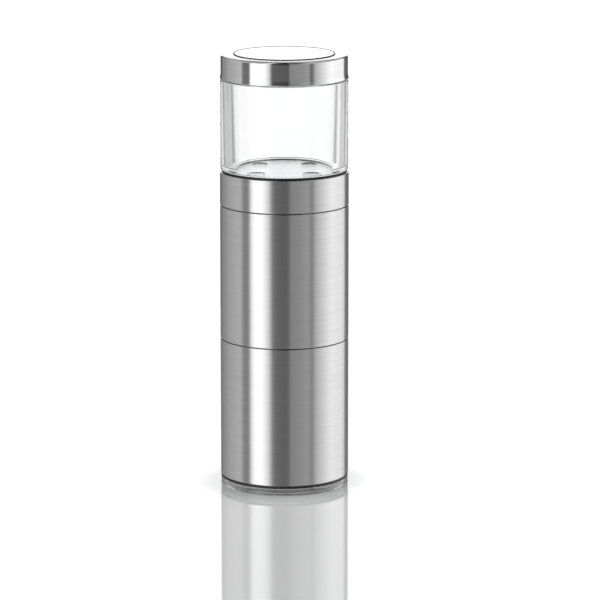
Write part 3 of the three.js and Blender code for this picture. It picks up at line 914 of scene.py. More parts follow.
@dataclass
class GrinderHalf:
    """Lower half of the barrel: liner with its stepped mouth, the blade, its ring and the bearing."""

    body: str = "grinder"
    sleeve_reach: float = 0.2
    lip_width: float = 0.8
    lip_reach: float = 0.5
    lip_gap: float = 0.05
    mouth_rim: float = 0.9
    mouth_step: float = 1.0
    mouth_wall: float = 1.7
    mouth_taper: float = 2.0
    throat_foot: float = 1.0
    key_count: int = 3
    key_width: float = 4.0
    key_depth: float = 0.9
    key_rise: float = 2.6
    key_height: float = 3.0
    key_ease: float = 0.25
    key_segments: int = 3
    seat_gap: float = 0.3
    seat_width: float = 2.9
    tab_width: float = 3.0
    tab_length: float = 1.0
    shelf: float = 2.0
    ledge: float = 1.7
    plate: float = 0.8
    slot_width: float = 3.4
    slot_rim: float = 1.9
    scallop: float = 1.0
    scallop_depth: float = 0.8
    scallop_start: float = 1.9
    lip_rise: float = 0.7
    lip_run: float = 3.3
    lip_hollow: float = 0.5
    lip_overlap: float = 0.05
    lip_edge: float = 0.01
    hollow_drop: float = 0.2
    tick_count: int = 72
    tick_width: float = 0.35
    tick_depth: float = 0.3
    tick_rim: float = 0.5
    bearing_bore: float = 17.5
    groove_depth: float = 0.9
    groove_half: float = 0.6
    groove_slope: float = 0.3
    bore: float = field(init=False)
    core: float = field(init=False)

    def __post_init__(self) -> None:
        """Works out the blade's visible radius from its ring, and the liner's radius from its lip."""
        self.bore = Span.of("blade_retaining_ring").radius - self.seat_width
        self.core = Span.of("outlet_liner").radius - self.lip_width

    def build(self, workshop: Workshop) -> None:
        """Makes the half's pieces.

        Args:
            workshop: what makes the pieces and hangs them on the frame.
        """
        SteelTube("lower_sleeve", self.body, self.sleeve_reach).build(workshop)
        workshop.fit(self.liner(), "outlet_liner", self.body, Finish.BLACK_PLASTIC)
        workshop.fit(self.blade(), "blade_disc", self.body, Finish.BLADE_STEEL)
        workshop.fit(self.retainer(), "blade_retaining_ring", self.body, Finish.BLACK_PLASTIC)
        workshop.fit(self.bearing(), "bearing_ring", self.body, Finish.PALE_PLASTIC)

    def liner(self) -> Shell:
        """The black liner: lip, mouth, keys, blade seat, shelf and bearing seat.

        Returns:
            The liner's shell.
        """
        span = Span.of("outlet_liner")
        retainer = Span.of("blade_retaining_ring")
        bearing = Span.of("bearing_ring")
        lip_base = span.base - self.lip_reach
        lip_top = Span.of("lower_sleeve").base - self.sleeve_reach - self.lip_gap
        mouth = self.core - self.mouth_wall
        seat = retainer.radius + self.seat_gap
        bearing_seat = bearing.radius + self.seat_gap
        throat = retainer.base - self.throat_foot
        shelf_base = retainer.top + self.plate + 2 * self.seat_gap
        section = [
            Corner(span.radius, lip_base, Ease.HAIR),
            Corner(span.radius, lip_top, Ease.HAIR),
            Corner(self.core, lip_top),
            Corner(self.core, span.top, Ease.FINE),
            Corner(bearing_seat, span.top, Ease.FINE),
            Corner(bearing_seat, bearing.base - self.seat_gap),
            Corner(bearing_seat - self.ledge, bearing.base - self.seat_gap, Ease.SMALL),
            Corner(bearing_seat - self.ledge, shelf_base + self.shelf),
            Corner(self.bore, shelf_base + self.shelf, Ease.SMALL),
            Corner(self.bore, shelf_base, Ease.CRISP),
            Corner(seat, shelf_base),
            Corner(seat, throat, Ease.FULL),
            Corner(mouth, throat - self.mouth_taper, Ease.FULL),
            Corner(mouth, span.base + self.mouth_step, Ease.SLIGHT),
            Corner(self.core - self.mouth_rim, span.base + self.mouth_step, Ease.CRISP),
            Corner(self.core - self.mouth_rim, span.base, Ease.SMALL),
            Corner(self.core, span.base),
            Corner(self.core, lip_base, Ease.HAIR),
        ]
        keyed = fused(turned(section, True), self.keys(mouth, span.base + self.key_rise))
        reach = (self.bore + self.seat_gap, seat + self.tab_length)
        levels = (throat - self.mouth_taper, shelf_base)
        return carved(keyed, pair(reach, self.tab_width + 2 * self.seat_gap, levels, math.pi / 2))

    def keys(self, mouth: float, base: float) -> list[Shell]:
        """The keys inside the mouth, with eased edges.

        Args:
            mouth: the mouth's radius.
            base: the level of the keys' undersides.

        Returns:
            The keys' shells.
        """
        reach = (mouth - self.key_depth, (mouth + self.core) / 2)
        made = spokes(self.key_count, reach, self.key_width, (base, base + self.key_height))
        for bm in made:
            bmesh.ops.bevel(
                bm,
                geom=list(bm.edges),
                affect="EDGES",
                offset=self.key_ease * MM,
                segments=self.key_segments,
                profile=0.5,
                material=-1,
            )
        return made

    def blade(self) -> Shell:
        """The blade: a disc with two tabs, a slot, and a raised lip with scallops along one radius.

        Returns:
            The blade's shell.
        """
        seat = Span.of("blade_retaining_ring")
        base = seat.top + self.seat_gap
        top = base + self.plate
        pitch = 2 * math.sqrt(self.scallop**2 - (self.scallop - self.scallop_depth) ** 2)
        count = 1 + int((self.bore - self.scallop_start) / pitch)
        slot_end = seat.radius - self.slot_rim
        half = self.slot_width / 2
        reach = (self.scallop_start - pitch / 2, self.scallop_start + pitch * (count - 0.5))
        disc = ring(0, seat.radius, (base, top), (0, Ease.BLADE, Ease.BLADE, 0))
        tab_reach = (self.bore, seat.radius + self.tab_length)
        tabs = pair(tab_reach, self.tab_width, (base, top), math.pi / 2)
        lip = self.wedge(reach, self.lip_rise + self.plate / 4, top - self.plate / 4)
        hollow = self.wedge(reach, self.lip_hollow + self.hollow_drop, base - self.hollow_drop)
        slot = block((-slot_end, -half, base - CLEAR_CUT), (slot_end, half, top + CLEAR_CUT))
        scallops = [
            bar(
                self.scallop_start + index * pitch,
                half - self.scallop + self.scallop_depth,
                self.scallop,
                base - CLEAR_CUT,
                top + 2 * self.lip_rise,
            )
            for index in range(count)
        ]
        return carved(fused(disc, [*tabs, lip]), [hollow, slot, *scallops])

    def wedge(self, reach: Range, height: float, base: float) -> Shell:
        """A wedge along the cutting edge, highest at the slot.

        Args:
            reach: where it starts and ends along the radius.
            height: its height at the slot.
            base: the level of its flat side.

        Returns:
            The wedge.
        """
        start, end = reach
        near = self.slot_width / 2 - self.lip_overlap
        bm = block((start, near, base), (end, near + self.lip_run, base + height))
        high = [v for v in bm.verts if v.co.z > (base + height / 2) * MM]
        far = [v for v in high if v.co.y > (near + self.lip_run / 2) * MM]
        bmesh.ops.translate(bm, vec=(0, 0, -(height - self.lip_edge) * MM), verts=far)
        return bm

    def retainer(self) -> Shell:
        """The ring under the blade, with fine radial ticks on its face.

        Returns:
            The ring's shell.
        """
        span = Span.of("blade_retaining_ring")
        eases = (Ease.FINE, Ease.FINE, 0, Ease.CRISP)
        whole = ring(self.bore, span.radius, (span.base, span.top), eases)
        reach = (self.bore - SHORT_CUT, span.radius - self.tick_rim)
        levels = (span.base - CLEAR_CUT, span.base + self.tick_depth)
        return carved(whole, spokes(self.tick_count, reach, self.tick_width, levels))

    def bearing(self) -> Shell:
        """The pale ring whose groove the chamber's ridge turns in.

        Returns:
            The ring's shell.
        """
        span = Span.of("bearing_ring")
        middle = span.top - RIDGE_DROP
        groove = self.bearing_bore + self.groove_depth
        section = [
            Corner(self.bearing_bore, span.base, Ease.SMALL),
            Corner(span.radius, span.base, Ease.SMALL),
            Corner(span.radius, span.top, Ease.SMALL),
            Corner(self.bearing_bore, span.top, Ease.SOFT),
            Corner(self.bearing_bore, middle + self.groove_half + self.groove_slope),
            Corner(groove, middle + self.groove_half),
            Corner(groove, middle - self.groove_half),
            Corner(self.bearing_bore, middle - self.groove_half - self.groove_slope),
        ]
        return turned(section, True)


@dataclass
class BarrelHalf:
    """Upper half of the barrel: the sleeve and the chamber that holds the nut."""

    body: str = "barrel"
    bore: float = 15.0
    wall: float = 2.2
    flange: float = 3.0
    flange_gap: float = 0.3
    ridge_height: float = 0.9
    ridge_half: float = 0.3
    ridge_slope: float = 0.3
    rim: float = 3.0
    notch_width: float = 6.6
    notch_depth: float = 1.7

    def build(self, workshop: Workshop) -> None:
        """Makes the half's pieces."""
        SteelTube("middle_sleeve", self.body).build(workshop)
        workshop.fit(self.chamber(), "nut_chamber", self.body, Finish.BLACK_PLASTIC)

    def chamber(self) -> Shell:
        """The chamber tube, with a flange at each end of the sleeve and a ridge for the bearing.

        Returns:
            The chamber's shell.
        """
        span = Span.of("nut_chamber")
        bearing_top = Span.of("bearing_ring").top
        outside = self.bore + self.wall
        ridge = bearing_top - RIDGE_DROP
        low_flange = bearing_top + self.flange_gap
        high_flange = span.top - self.rim
        section = [
            Corner(self.bore, span.base, Ease.BROKEN),
            Corner(outside, span.base, Ease.SMALL),
            Corner(outside, ridge - self.ridge_half - self.ridge_slope),
            Corner(outside + self.ridge_height, ridge - self.ridge_half),
            Corner(outside + self.ridge_height, ridge + self.ridge_half),
            Corner(outside, ridge + self.ridge_half + self.ridge_slope),
            Corner(outside, low_flange),
            Corner(span.radius, low_flange, Ease.SMALL),
            Corner(span.radius, low_flange + self.flange, Ease.SMALL),
            Corner(outside, low_flange + self.flange, Ease.BROKEN),
            Corner(outside, high_flange - self.flange, Ease.BROKEN),
            Corner(span.radius, high_flange - self.flange, Ease.SMALL),
            Corner(span.radius, high_flange, Ease.SOFT),
            Corner(outside, high_flange, Ease.SOFT),
            Corner(outside, span.top, Ease.BROKEN),
            Corner(self.bore, span.top, Ease.FULL),
        ]
        reach = (span.radius - self.notch_depth, span.radius + CLEAR_CUT)
        levels = (high_flange - self.flange - SHORT_CUT, high_flange + SHORT_CUT)
        return carved(turned(section, True), pair(reach, self.notch_width, levels, math.pi / 2))


@dataclass
class Head:
    """What pulls out of the barrel: collar, carrier, plate, screws, guide tube, spring and the clear jar."""

    body: str = "head"
    carrier_wall: float = 1.8
    web: float = 3.0
    tab_width: float = 6.0
    tab_height: float = 2.5
    tab_thickness: float = 1.4
    seat_gap: float = 0.3
    screw_count: int = 4
    screw_circle: float = 12.9
    screws: Screw = Screw(shank=1.3, head=2.75, point_length=1.2, cross_length=2.9)
    well_gap: float = 0.2
    plate_thickness: float = 0.6
    hole_radius: float = 1.6
    guide_bore: float = 8.2
    guide_wall: float = 1.4
    guide_flange: float = 2.3
    lug_width: float = 4.0
    lug_depth: float = 1.6
    jar_foot: float = 19.4
    jar_floor: float = 1.8
    jar_drop: float = 0.3
    jar_base_wall: float = 5.1
    jar_top_wall: float = 4.05
    jar_neck_wall: float = 1.95
    jar_neck_height: float = 5.1
    jar_edge: float = 0.3
    jar_corner: float = 0.2
    jar_dimple: float = 3.0
    jar_dimple_depth: float = 0.32
    spring_radius: float = 6.5
    spring_wire: float = 0.55
    spring_turns: float = 16.0
    spring_closed_turns: float = 1.5
    spring_closed_pitch: float = 2.1
    spring_steps: int = 28
    spring_sides: int = 12

    def build(self, workshop: Workshop) -> None:
        """Makes the head's pieces.

        Args:
            workshop: what makes the pieces and hangs them on the frame.
        """
        SteelTube("collar", self.body).build(workshop)
        workshop.fit(self.carrier(), "jar_carrier", self.body, Finish.BLACK_PLASTIC)
        workshop.fit(self.plate(), "carrier_plate", self.body, Finish.BLADE_STEEL)
        workshop.fit(self.guide(), "guide_tube", self.body, Finish.PALE_PLASTIC)
        for number, place in enumerate(self.screw_places(), 1):
            workshop.fit(self.screw(place), f"carrier_screw_{number}", self.body, Finish.BLADE_STEEL)
        workshop.fit(self.jar(), "jar", self.body, Finish.CLEAR_ACRYLIC)
        spring = workshop.fit(self.spring(), "pressure_spring", self.body, Finish.BLADE_STEEL)
        self.let_spring_shorten(spring)

    def screw_places(self) -> list[Place]:
        """Where the screws stand round the axis."""
        return circle_places(self.screw_count, self.screw_circle, math.pi / self.screw_count)

    def bores(self, radius: float, base: float, top: float, steps: int = SMALL_STEPS) -> list[Shell]:
        """Round cutters of one radius, each over a screw, that reach past the top level."""
        return [bar(x, y, radius, base, top + CLEAR_CUT, steps) for x, y in self.screw_places()]

    def holes(self, base: float, top: float) -> list[Shell]:
        """The cutters of the screw holes through one piece."""
        return self.bores(self.hole_radius, base - CLEAR_CUT, top, BAR_STEPS)

    def carrier(self) -> Shell:
        """The black carrier: socket for the jar's foot, web, spigot and two tabs.

        Returns:
            The carrier's shell.
        """
        span = Span.of("jar_carrier")
        bore = span.radius - self.carrier_wall
        spigot_base = span.base + self.tab_height
        web_top = Span.of("carrier_plate").base - self.seat_gap
        web_base = web_top - self.web
        section = [
            Corner(0, web_base),
            Corner(bore, web_base, Ease.BROKEN),
            Corner(bore, spigot_base, Ease.SMALL),
            Corner(span.radius, spigot_base, Ease.SOFT),
            Corner(span.radius, span.top, Ease.FINE),
            Corner(bore, span.top, Ease.FINE),
            Corner(bore, web_top),
            Corner(0, web_top),
        ]
        reach = (span.radius - self.tab_thickness, span.radius - self.seat_gap)
        levels = (span.base, spigot_base + self.tab_height)
        tabs = pair(reach, self.tab_width, levels, math.pi / 2)
        return carved(fused(turned(section, False), tabs), self.holes(web_base, web_top))

    def plate(self) -> Shell:
        """The bright dished plate under the jar's floor, with a well over each screw.

        Returns:
            The plate's shell.
        """
        span = Span.of("carrier_plate")
        inside = span.radius - self.plate_thickness
        face = span.top - self.plate_thickness
        section = [
            Corner(0, face),
            Corner(inside, face, Ease.SOFT),
            Corner(inside, span.base, Ease.CRISP),
            Corner(span.radius, span.base, Ease.CRISP),
            Corner(span.radius, span.top, Ease.ROUND),
            Corner(0, span.top),
        ]
        wells = self.bores(self.screws.head + self.well_gap, span.base, span.top)
        return carved(turned(section, False), wells)

    def guide(self) -> Shell:
        """The fixed tube of the plunger's guide, with its flange and two lugs.

        Returns:
            The tube's shell.
        """
        span = Span.of("guide_tube")
        outside = self.guide_bore + self.guide_wall
        flange_base = span.top - self.guide_flange
        section = [
            Corner(self.guide_bore, span.base, Ease.SOFT),
            Corner(outside, span.base, Ease.SOFT),
            Corner(outside, flange_base, Ease.WIDE),
            Corner(span.radius, flange_base, Ease.SOFT),
            Corner(span.radius, span.top, Ease.SOFT),
            Corner(self.guide_bore, span.top, Ease.SOFT),
        ]
        reach = (self.guide_bore + self.guide_wall / 2, outside + self.lug_depth)
        lugs = pair(reach, self.lug_width, (span.base, span.base + GUIDE_LUG_HEIGHT))
        return carved(fused(turned(section, True), lugs), self.holes(flange_base, span.top))

    def screw(self, place: Place) -> Shell:
        """One of the screws that hold the plate.

        Args:
            place: where it stands.

        Returns:
            The screw's shell.
        """
        span = Span.of("carrier_screw_1")
        bm = self.screws.turned_at(span.base, span.top, math.pi / 4)
        bmesh.ops.translate(bm, vec=(place[0] * MM, place[1] * MM, 0), verts=bm.verts)
        return bm

    def jar(self) -> Shell:
        """The thick clear jar: a foot in the carrier, a dimpled floor, a drafted bore and a neck.

        Returns:
            The jar's shell.
        """
        span = Span.of("jar")
        shoulder = span.top - self.jar_neck_height
        floor_top = span.base + self.jar_floor
        base = floor_top + self.jar_drop
        base_bore = span.radius - self.jar_base_wall
        neck_bore = span.radius - self.jar_top_wall
        neck = neck_bore + self.jar_neck_wall
        section = [
            Corner(0, span.base),
            Corner(self.jar_foot, span.base, Ease.SMALL),
            Corner(self.jar_foot, base, Ease.SMALL),
            Corner(span.radius, base, self.jar_edge),
            Corner(span.radius, shoulder, self.jar_edge),
            Corner(neck, shoulder, Ease.SMALL),
            Corner(neck, span.top, Ease.ROUND),
            Corner(neck_bore, span.top, Ease.ROUND),
            Corner(base_bore, floor_top, self.jar_corner),
            Corner(0, floor_top),
        ]
        dimples = self.bores(self.jar_dimple, floor_top - self.jar_dimple_depth, floor_top)
        return carved(turned(section, False, JAR_STEPS), dimples)

    def spring(self) -> Shell:
        """The pressure spring: open coils between closed end coils.

        Returns:
            The spring's shell.
        """
        span = Span.of("pressure_spring")
        closed_pitch = self.spring_closed_pitch * self.spring_wire
        open_turns = self.spring_turns - 2 * self.spring_closed_turns
        travel = span.height - 2 * self.spring_wire
        open_pitch = (travel - 2 * self.spring_closed_turns * closed_pitch) / open_turns
        bm = bmesh.new()
        middle = Vector((self.spring_radius * MM, 0, (span.base + self.spring_wire) * MM))
        upright = Matrix.Translation(middle) @ Matrix.Rotation(math.pi / 2, 4, "X")
        made = bmesh.ops.create_circle(
            bm, cap_ends=True, radius=self.spring_wire * MM, segments=self.spring_sides, matrix=upright
        )
        edges = list({edge for vert in made["verts"] for edge in vert.link_edges})
        last = made["verts"] + edges
        runs = (
            (self.spring_closed_turns, closed_pitch),
            (open_turns, open_pitch),
            (self.spring_closed_turns, closed_pitch),
        )
        for turns, pitch in runs:
            steps = round(turns * self.spring_steps)
            spun = bmesh.ops.spin(
                bm,
                geom=last,
                cent=(0, 0, 0),
                axis=(0, 0, 1),
                dvec=(0, 0, pitch * turns / steps * MM),
                angle=FULL_TURN * turns,
                steps=steps,
            )
            last = [item for item in spun["geom_last"] if not isinstance(item, bmesh.types.BMFace)]
        bmesh.ops.contextual_create(bm, geom=[e for e in last if isinstance(e, bmesh.types.BMEdge)])
        bmesh.ops.recalc_face_normals(bm, faces=bm.faces)
        return bm

    def let_spring_shorten(self, spring: bpy.types.Object) -> None:
        """Gives the spring's piece a mesh of its own; the share of its length kept at full travel is worked
        out but not used.

        Args:
            spring: the spring's piece.
        """
        span = Span.of("pressure_spring")
        keep = (span.height - PLUNGER_TRAVEL) / span.height
        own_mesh(spring)


@dataclass
class Pusher:
    """What presses on the nut: the sliding cup, the spiked plate and its screw."""

    body: str = "pusher"
    floor: float = 3.0
    flange_edge: float = 0.8
    outside: float = 11.7
    bore: float = 9.9
    screw_bore: float = 1.5
    slot_width: float = 4.6
    slot_rim: float = 1.7
    slot_gap: float = 0.3
    plate: float = 0.7
    spike_count: int = 6
    spike_circle: float = 8.5
    spike_radius: float = 0.9
    spike_point: float = 0.05
    shank: float = 1.2
    point_length: float = 0.8
    cross_length: float = 2.8

    def build(self, workshop: Workshop) -> None:
        """Makes the pusher's pieces.

        Args:
            workshop: what makes the pieces and hangs them on the frame.
        """
        workshop.fit(self.cup(), "plunger", self.body, Finish.PALE_PLASTIC)
        workshop.fit(self.claw(), "claw_plate", self.body, Finish.BLADE_STEEL)
        workshop.fit(self.screw(), "claw_screw", self.body, Finish.BLADE_STEEL)

    def cup(self) -> Shell:
        """The sliding cup, slotted for the guide tube's lugs.

        Returns:
            The cup's shell.
        """
        span = Span.of("plunger")
        floor_top = span.base + self.floor
        section = [
            Corner(self.screw_bore, span.base),
            Corner(span.radius, span.base, Ease.SOFT),
            Corner(span.radius, floor_top - self.flange_edge, Ease.SOFT),
            Corner(self.outside, floor_top, Ease.SOFT),
            Corner(self.outside, span.top, Ease.BROKEN),
            Corner(self.bore, span.top, Ease.BROKEN),
            Corner(self.bore, floor_top, Ease.BROKEN),
            Corner(self.screw_bore, floor_top),
        ]
        reach = (self.bore - SHORT_CUT, self.outside + SHORT_CUT)
        slot_top = span.top - self.slot_rim
        slot_base = slot_top - GUIDE_LUG_HEIGHT - PLUNGER_TRAVEL - 2 * self.slot_gap
        return carved(turned(section, True), pair(reach, self.slot_width, (slot_base, slot_top)))

    def claw(self) -> Shell:
        """The steel plate with its ring of spikes, points down.

        Returns:
            The plate's shell.
        """
        span = Span.of("claw_plate")
        base = span.top - self.plate
        plate = ring(self.screw_bore, span.radius, (base, span.top), (0, Ease.CRISP, Ease.CRISP, 0))
        top = base + self.plate / 2
        spikes = [
            bar(x, y, self.spike_radius, span.base, top, SPIKE_STEPS, self.spike_point)
            for x, y in circle_places(self.spike_count, self.spike_circle)
        ]
        return fused(plate, spikes)

    def screw(self) -> Shell:
        """The screw under the claw plate, head down.

        Returns:
            The screw's shell.
        """
        span = Span.of("claw_screw")
        kind = Screw(self.shank, span.radius, self.point_length, self.cross_length)
        return kind.turned_at(span.top, span.base)


@dataclass
class Lid:
    """The lid: pressed steel shell, bright inlay, inner moulding with a plug, and its seal."""

    body: str = "lid"
    slimness: float = 0.25
    wall: float = 0.6
    top_edge: float = 1.0
    flare: float = 0.25
    flare_height: float = 1.4
    flare_band: float = 0.5
    recess_gap: float = 0.3
    recess: float = 0.8
    inlay_edge: float = 0.12
    inlay_drop: float = 0.2
    dark_ring_rise: float = 0.08
    web: float = 1.4
    skirt: float = 1.0
    plug_radius: float = 17.7
    plug_wall: float = 1.3
    plug_depth: float = 4.4
    groove_depth: float = 0.6
    seal_rise: float = 1.7
    seal_half: float = 0.65

    def build(self, workshop: Workshop) -> None:
        """Makes the lid's pieces.

        Args:
            workshop: what makes the pieces and hangs them on the frame.
        """
        workshop.fit(self.shell(), "lid_shell", self.body, Finish.LID_STEEL)
        workshop.fit(self.inlay(), "lid_inlay", self.body, Finish.INLAY_STEEL)
        # A thin black ring round the inlay, standing just above it
        workshop.add(self.dark_ring(), "inlay_dark_ring", self.body, Finish.BLACK_RUBBER)
        workshop.fit(self.insert(), "lid_insert", self.body, Finish.BLACK_PLASTIC)
        workshop.fit(self.seal(), "lid_seal", self.body, Finish.BLACK_RUBBER)

    def shell(self) -> Shell:
        """The pressed shell: recessed top, eased shoulder, slightly flared rim.

        Returns:
            The lid's shell.
        """
        span = Span.of("lid_shell")
        rim = span.radius - self.slimness
        outside = rim - self.flare
        bore = outside - self.wall
        recess = Span.of("lid_inlay").radius + self.recess_gap
        floor = span.top - self.recess
        section = [
            Corner(0, floor - self.wall),
            Corner(recess + self.wall, floor - self.wall, Ease.SOFT),
            Corner(recess + self.wall, span.top - self.wall, Ease.SMALL),
            Corner(bore, span.top - self.wall, Ease.ROUND),
            Corner(bore, span.base, Ease.CRISP),
            Corner(rim, span.base, Ease.SLIGHT),
            Corner(rim, span.base + self.flare_band, Ease.SMALL),
            Corner(outside, span.base + self.flare_height, Ease.SOFT),
            Corner(outside, span.top, self.top_edge),
            Corner(recess, span.top, Ease.FINE),
            Corner(recess, floor, Ease.SMALL),
            Corner(0, floor),
        ]
        return turned(section, False)

    def inlay(self) -> Shell:
        """The bright disc in the lid's recess.

        Returns:
            The disc's shell.
        """
        span = Span.of("lid_inlay")
        top = span.top - self.inlay_drop
        return ring(0, span.radius, (span.base, top), (0, Ease.CRISP, self.inlay_edge, 0))

    def dark_ring(self) -> Shell:
        """A thin black ring round the inlay, standing a little above the inlay's face.

        Returns:
            The line's shell.
        """
        span = Span.of("lid_inlay")
        outside = span.radius + self.recess_gap
        top = span.top - self.inlay_drop + self.dark_ring_rise
        return ring(span.radius, outside, (span.base, top), (0, 0, Ease.HAIR, Ease.HAIR))

    def insert(self) -> Shell:
        """The black moulding inside: a skirt round the jar's neck and a plug with a seal groove.

        Returns:
            The moulding's shell.
        """
        span = Span.of("lid_insert")
        web_base = span.top - self.web
        plug_base = web_base - self.plug_depth
        seal = plug_base + self.seal_rise
        groove = self.plug_radius - self.groove_depth
        section = [
            Corner(0, web_base),
            Corner(self.plug_radius - self.plug_wall, web_base, Ease.ROUND),
            Corner(self.plug_radius - self.plug_wall, plug_base, Ease.SOFT),
            Corner(self.plug_radius, plug_base, Ease.BROKEN),
            Corner(self.plug_radius, seal - self.seal_half, Ease.CRISP),
            Corner(groove, seal - self.seal_half),
            Corner(groove, seal + self.seal_half),
            Corner(self.plug_radius, seal + self.seal_half, Ease.CRISP),
            Corner(self.plug_radius, web_base, Ease.SMALL),
            Corner(span.radius - self.skirt, web_base, Ease.SMALL),
            Corner(span.radius - self.skirt, span.base, Ease.SMALL),
            Corner(span.radius, span.base, Ease.SMALL),
            Corner(span.radius, span.top, Ease.BROKEN),
            Corner(0, span.top),
        ]
        return turned(section, False)

    def seal(self) -> Shell:
        """The rubber ring in the plug's groove.

        Returns:
            The ring's shell.
        """
        span = Span.of("lid_seal")
        wire = span.height / 2
        bm = bmesh.new()
        middle = Matrix.Translation(((span.radius - wire) * MM, 0, (span.base + wire) * MM))
        section = middle @ Matrix.Rotation(math.pi / 2, 4, "X")
        bmesh.ops.create_circle(bm, cap_ends=False, radius=wire * MM, segments=SEAL_SIDES, matrix=section)
        spin_round(bm, list(bm.verts) + list(bm.edges), FINE_STEPS)
        return bm


def once_round(azimuth: float) -> float:
    """Where an azimuth in degrees falls on a ramp that runs once round."""
    return (1 + azimuth / HALF_TURN_DEGREES) / 2


@dataclass(frozen=True)
class Panel:
    """One upright panel of the studio, by the azimuths it spans and its level at each end.

    Azimuths are in degrees from the side that faces the portrait, towards the right.
    """

    start: float
    end: float
    level: float
    end_level: float

    def stops(self) -> list[Range]:
        """The panel's two stops on a ramp that runs once round."""
        return [(once_round(self.start), self.level), (once_round(self.end), self.end_level)]


PANELS = (
    Panel(-180, -150, 0.24, 0.24),
    Panel(-146, -128, 0.4, 0.46),
    Panel(-124, -84, 0.54, 0.75),
    Panel(-79, -66, 0.3, 0.29),
    Panel(-62, -57, 1.6, 1.9),
    Panel(-55, -40, 2.1, 2.0),
    Panel(-38, -27, 1.75, 1.0),
    Panel(-22, 8, 0.25, 0.22),
    Panel(11, 30, 0.43, 0.46),
    Panel(31, 46, 0.46, 0.53),
    Panel(48, 53, 0.27, 0.3),
    Panel(58, 90, 0.7, 1.42),
    Panel(92, 100, 1.46, 1.46),
    Panel(102, 134, 1.4, 1.24),
    Panel(138, 150, 0.3, 0.28),
    Panel(158, 180, 0.16, 0.12),
)

# What the tent shows in the jar's wall and low through it: azimuths in degrees, as above, and levels
SEEN_IN_JAR_WALL = (
    (-180, 1.0), (-172, 0.95), (-168, 0.36), (-163, 0.34), (-158, 0.44), (-155, 0.6), (-151, 0.5),
    (-136, 0.54), (-131, 0.6), (-129, 0.56), (-127, 0.36), (-122, 0.36), (-116, 0.7), (0, 0.8),
    (116, 0.7), (122, 0.36), (126, 0.4), (130, 0.68), (133, 0.9), (139, 0.84), (142, 0.54),
    (150, 0.46), (158, 0.46), (170, 0.42), (174, 0.9), (180, 1.0),
)
SEEN_LOW_THROUGH_JAR = ((0, 0.8), (110, 0.78), (135, 0.82), (150, 1.02), (156, 1.06), (180, 1.1))


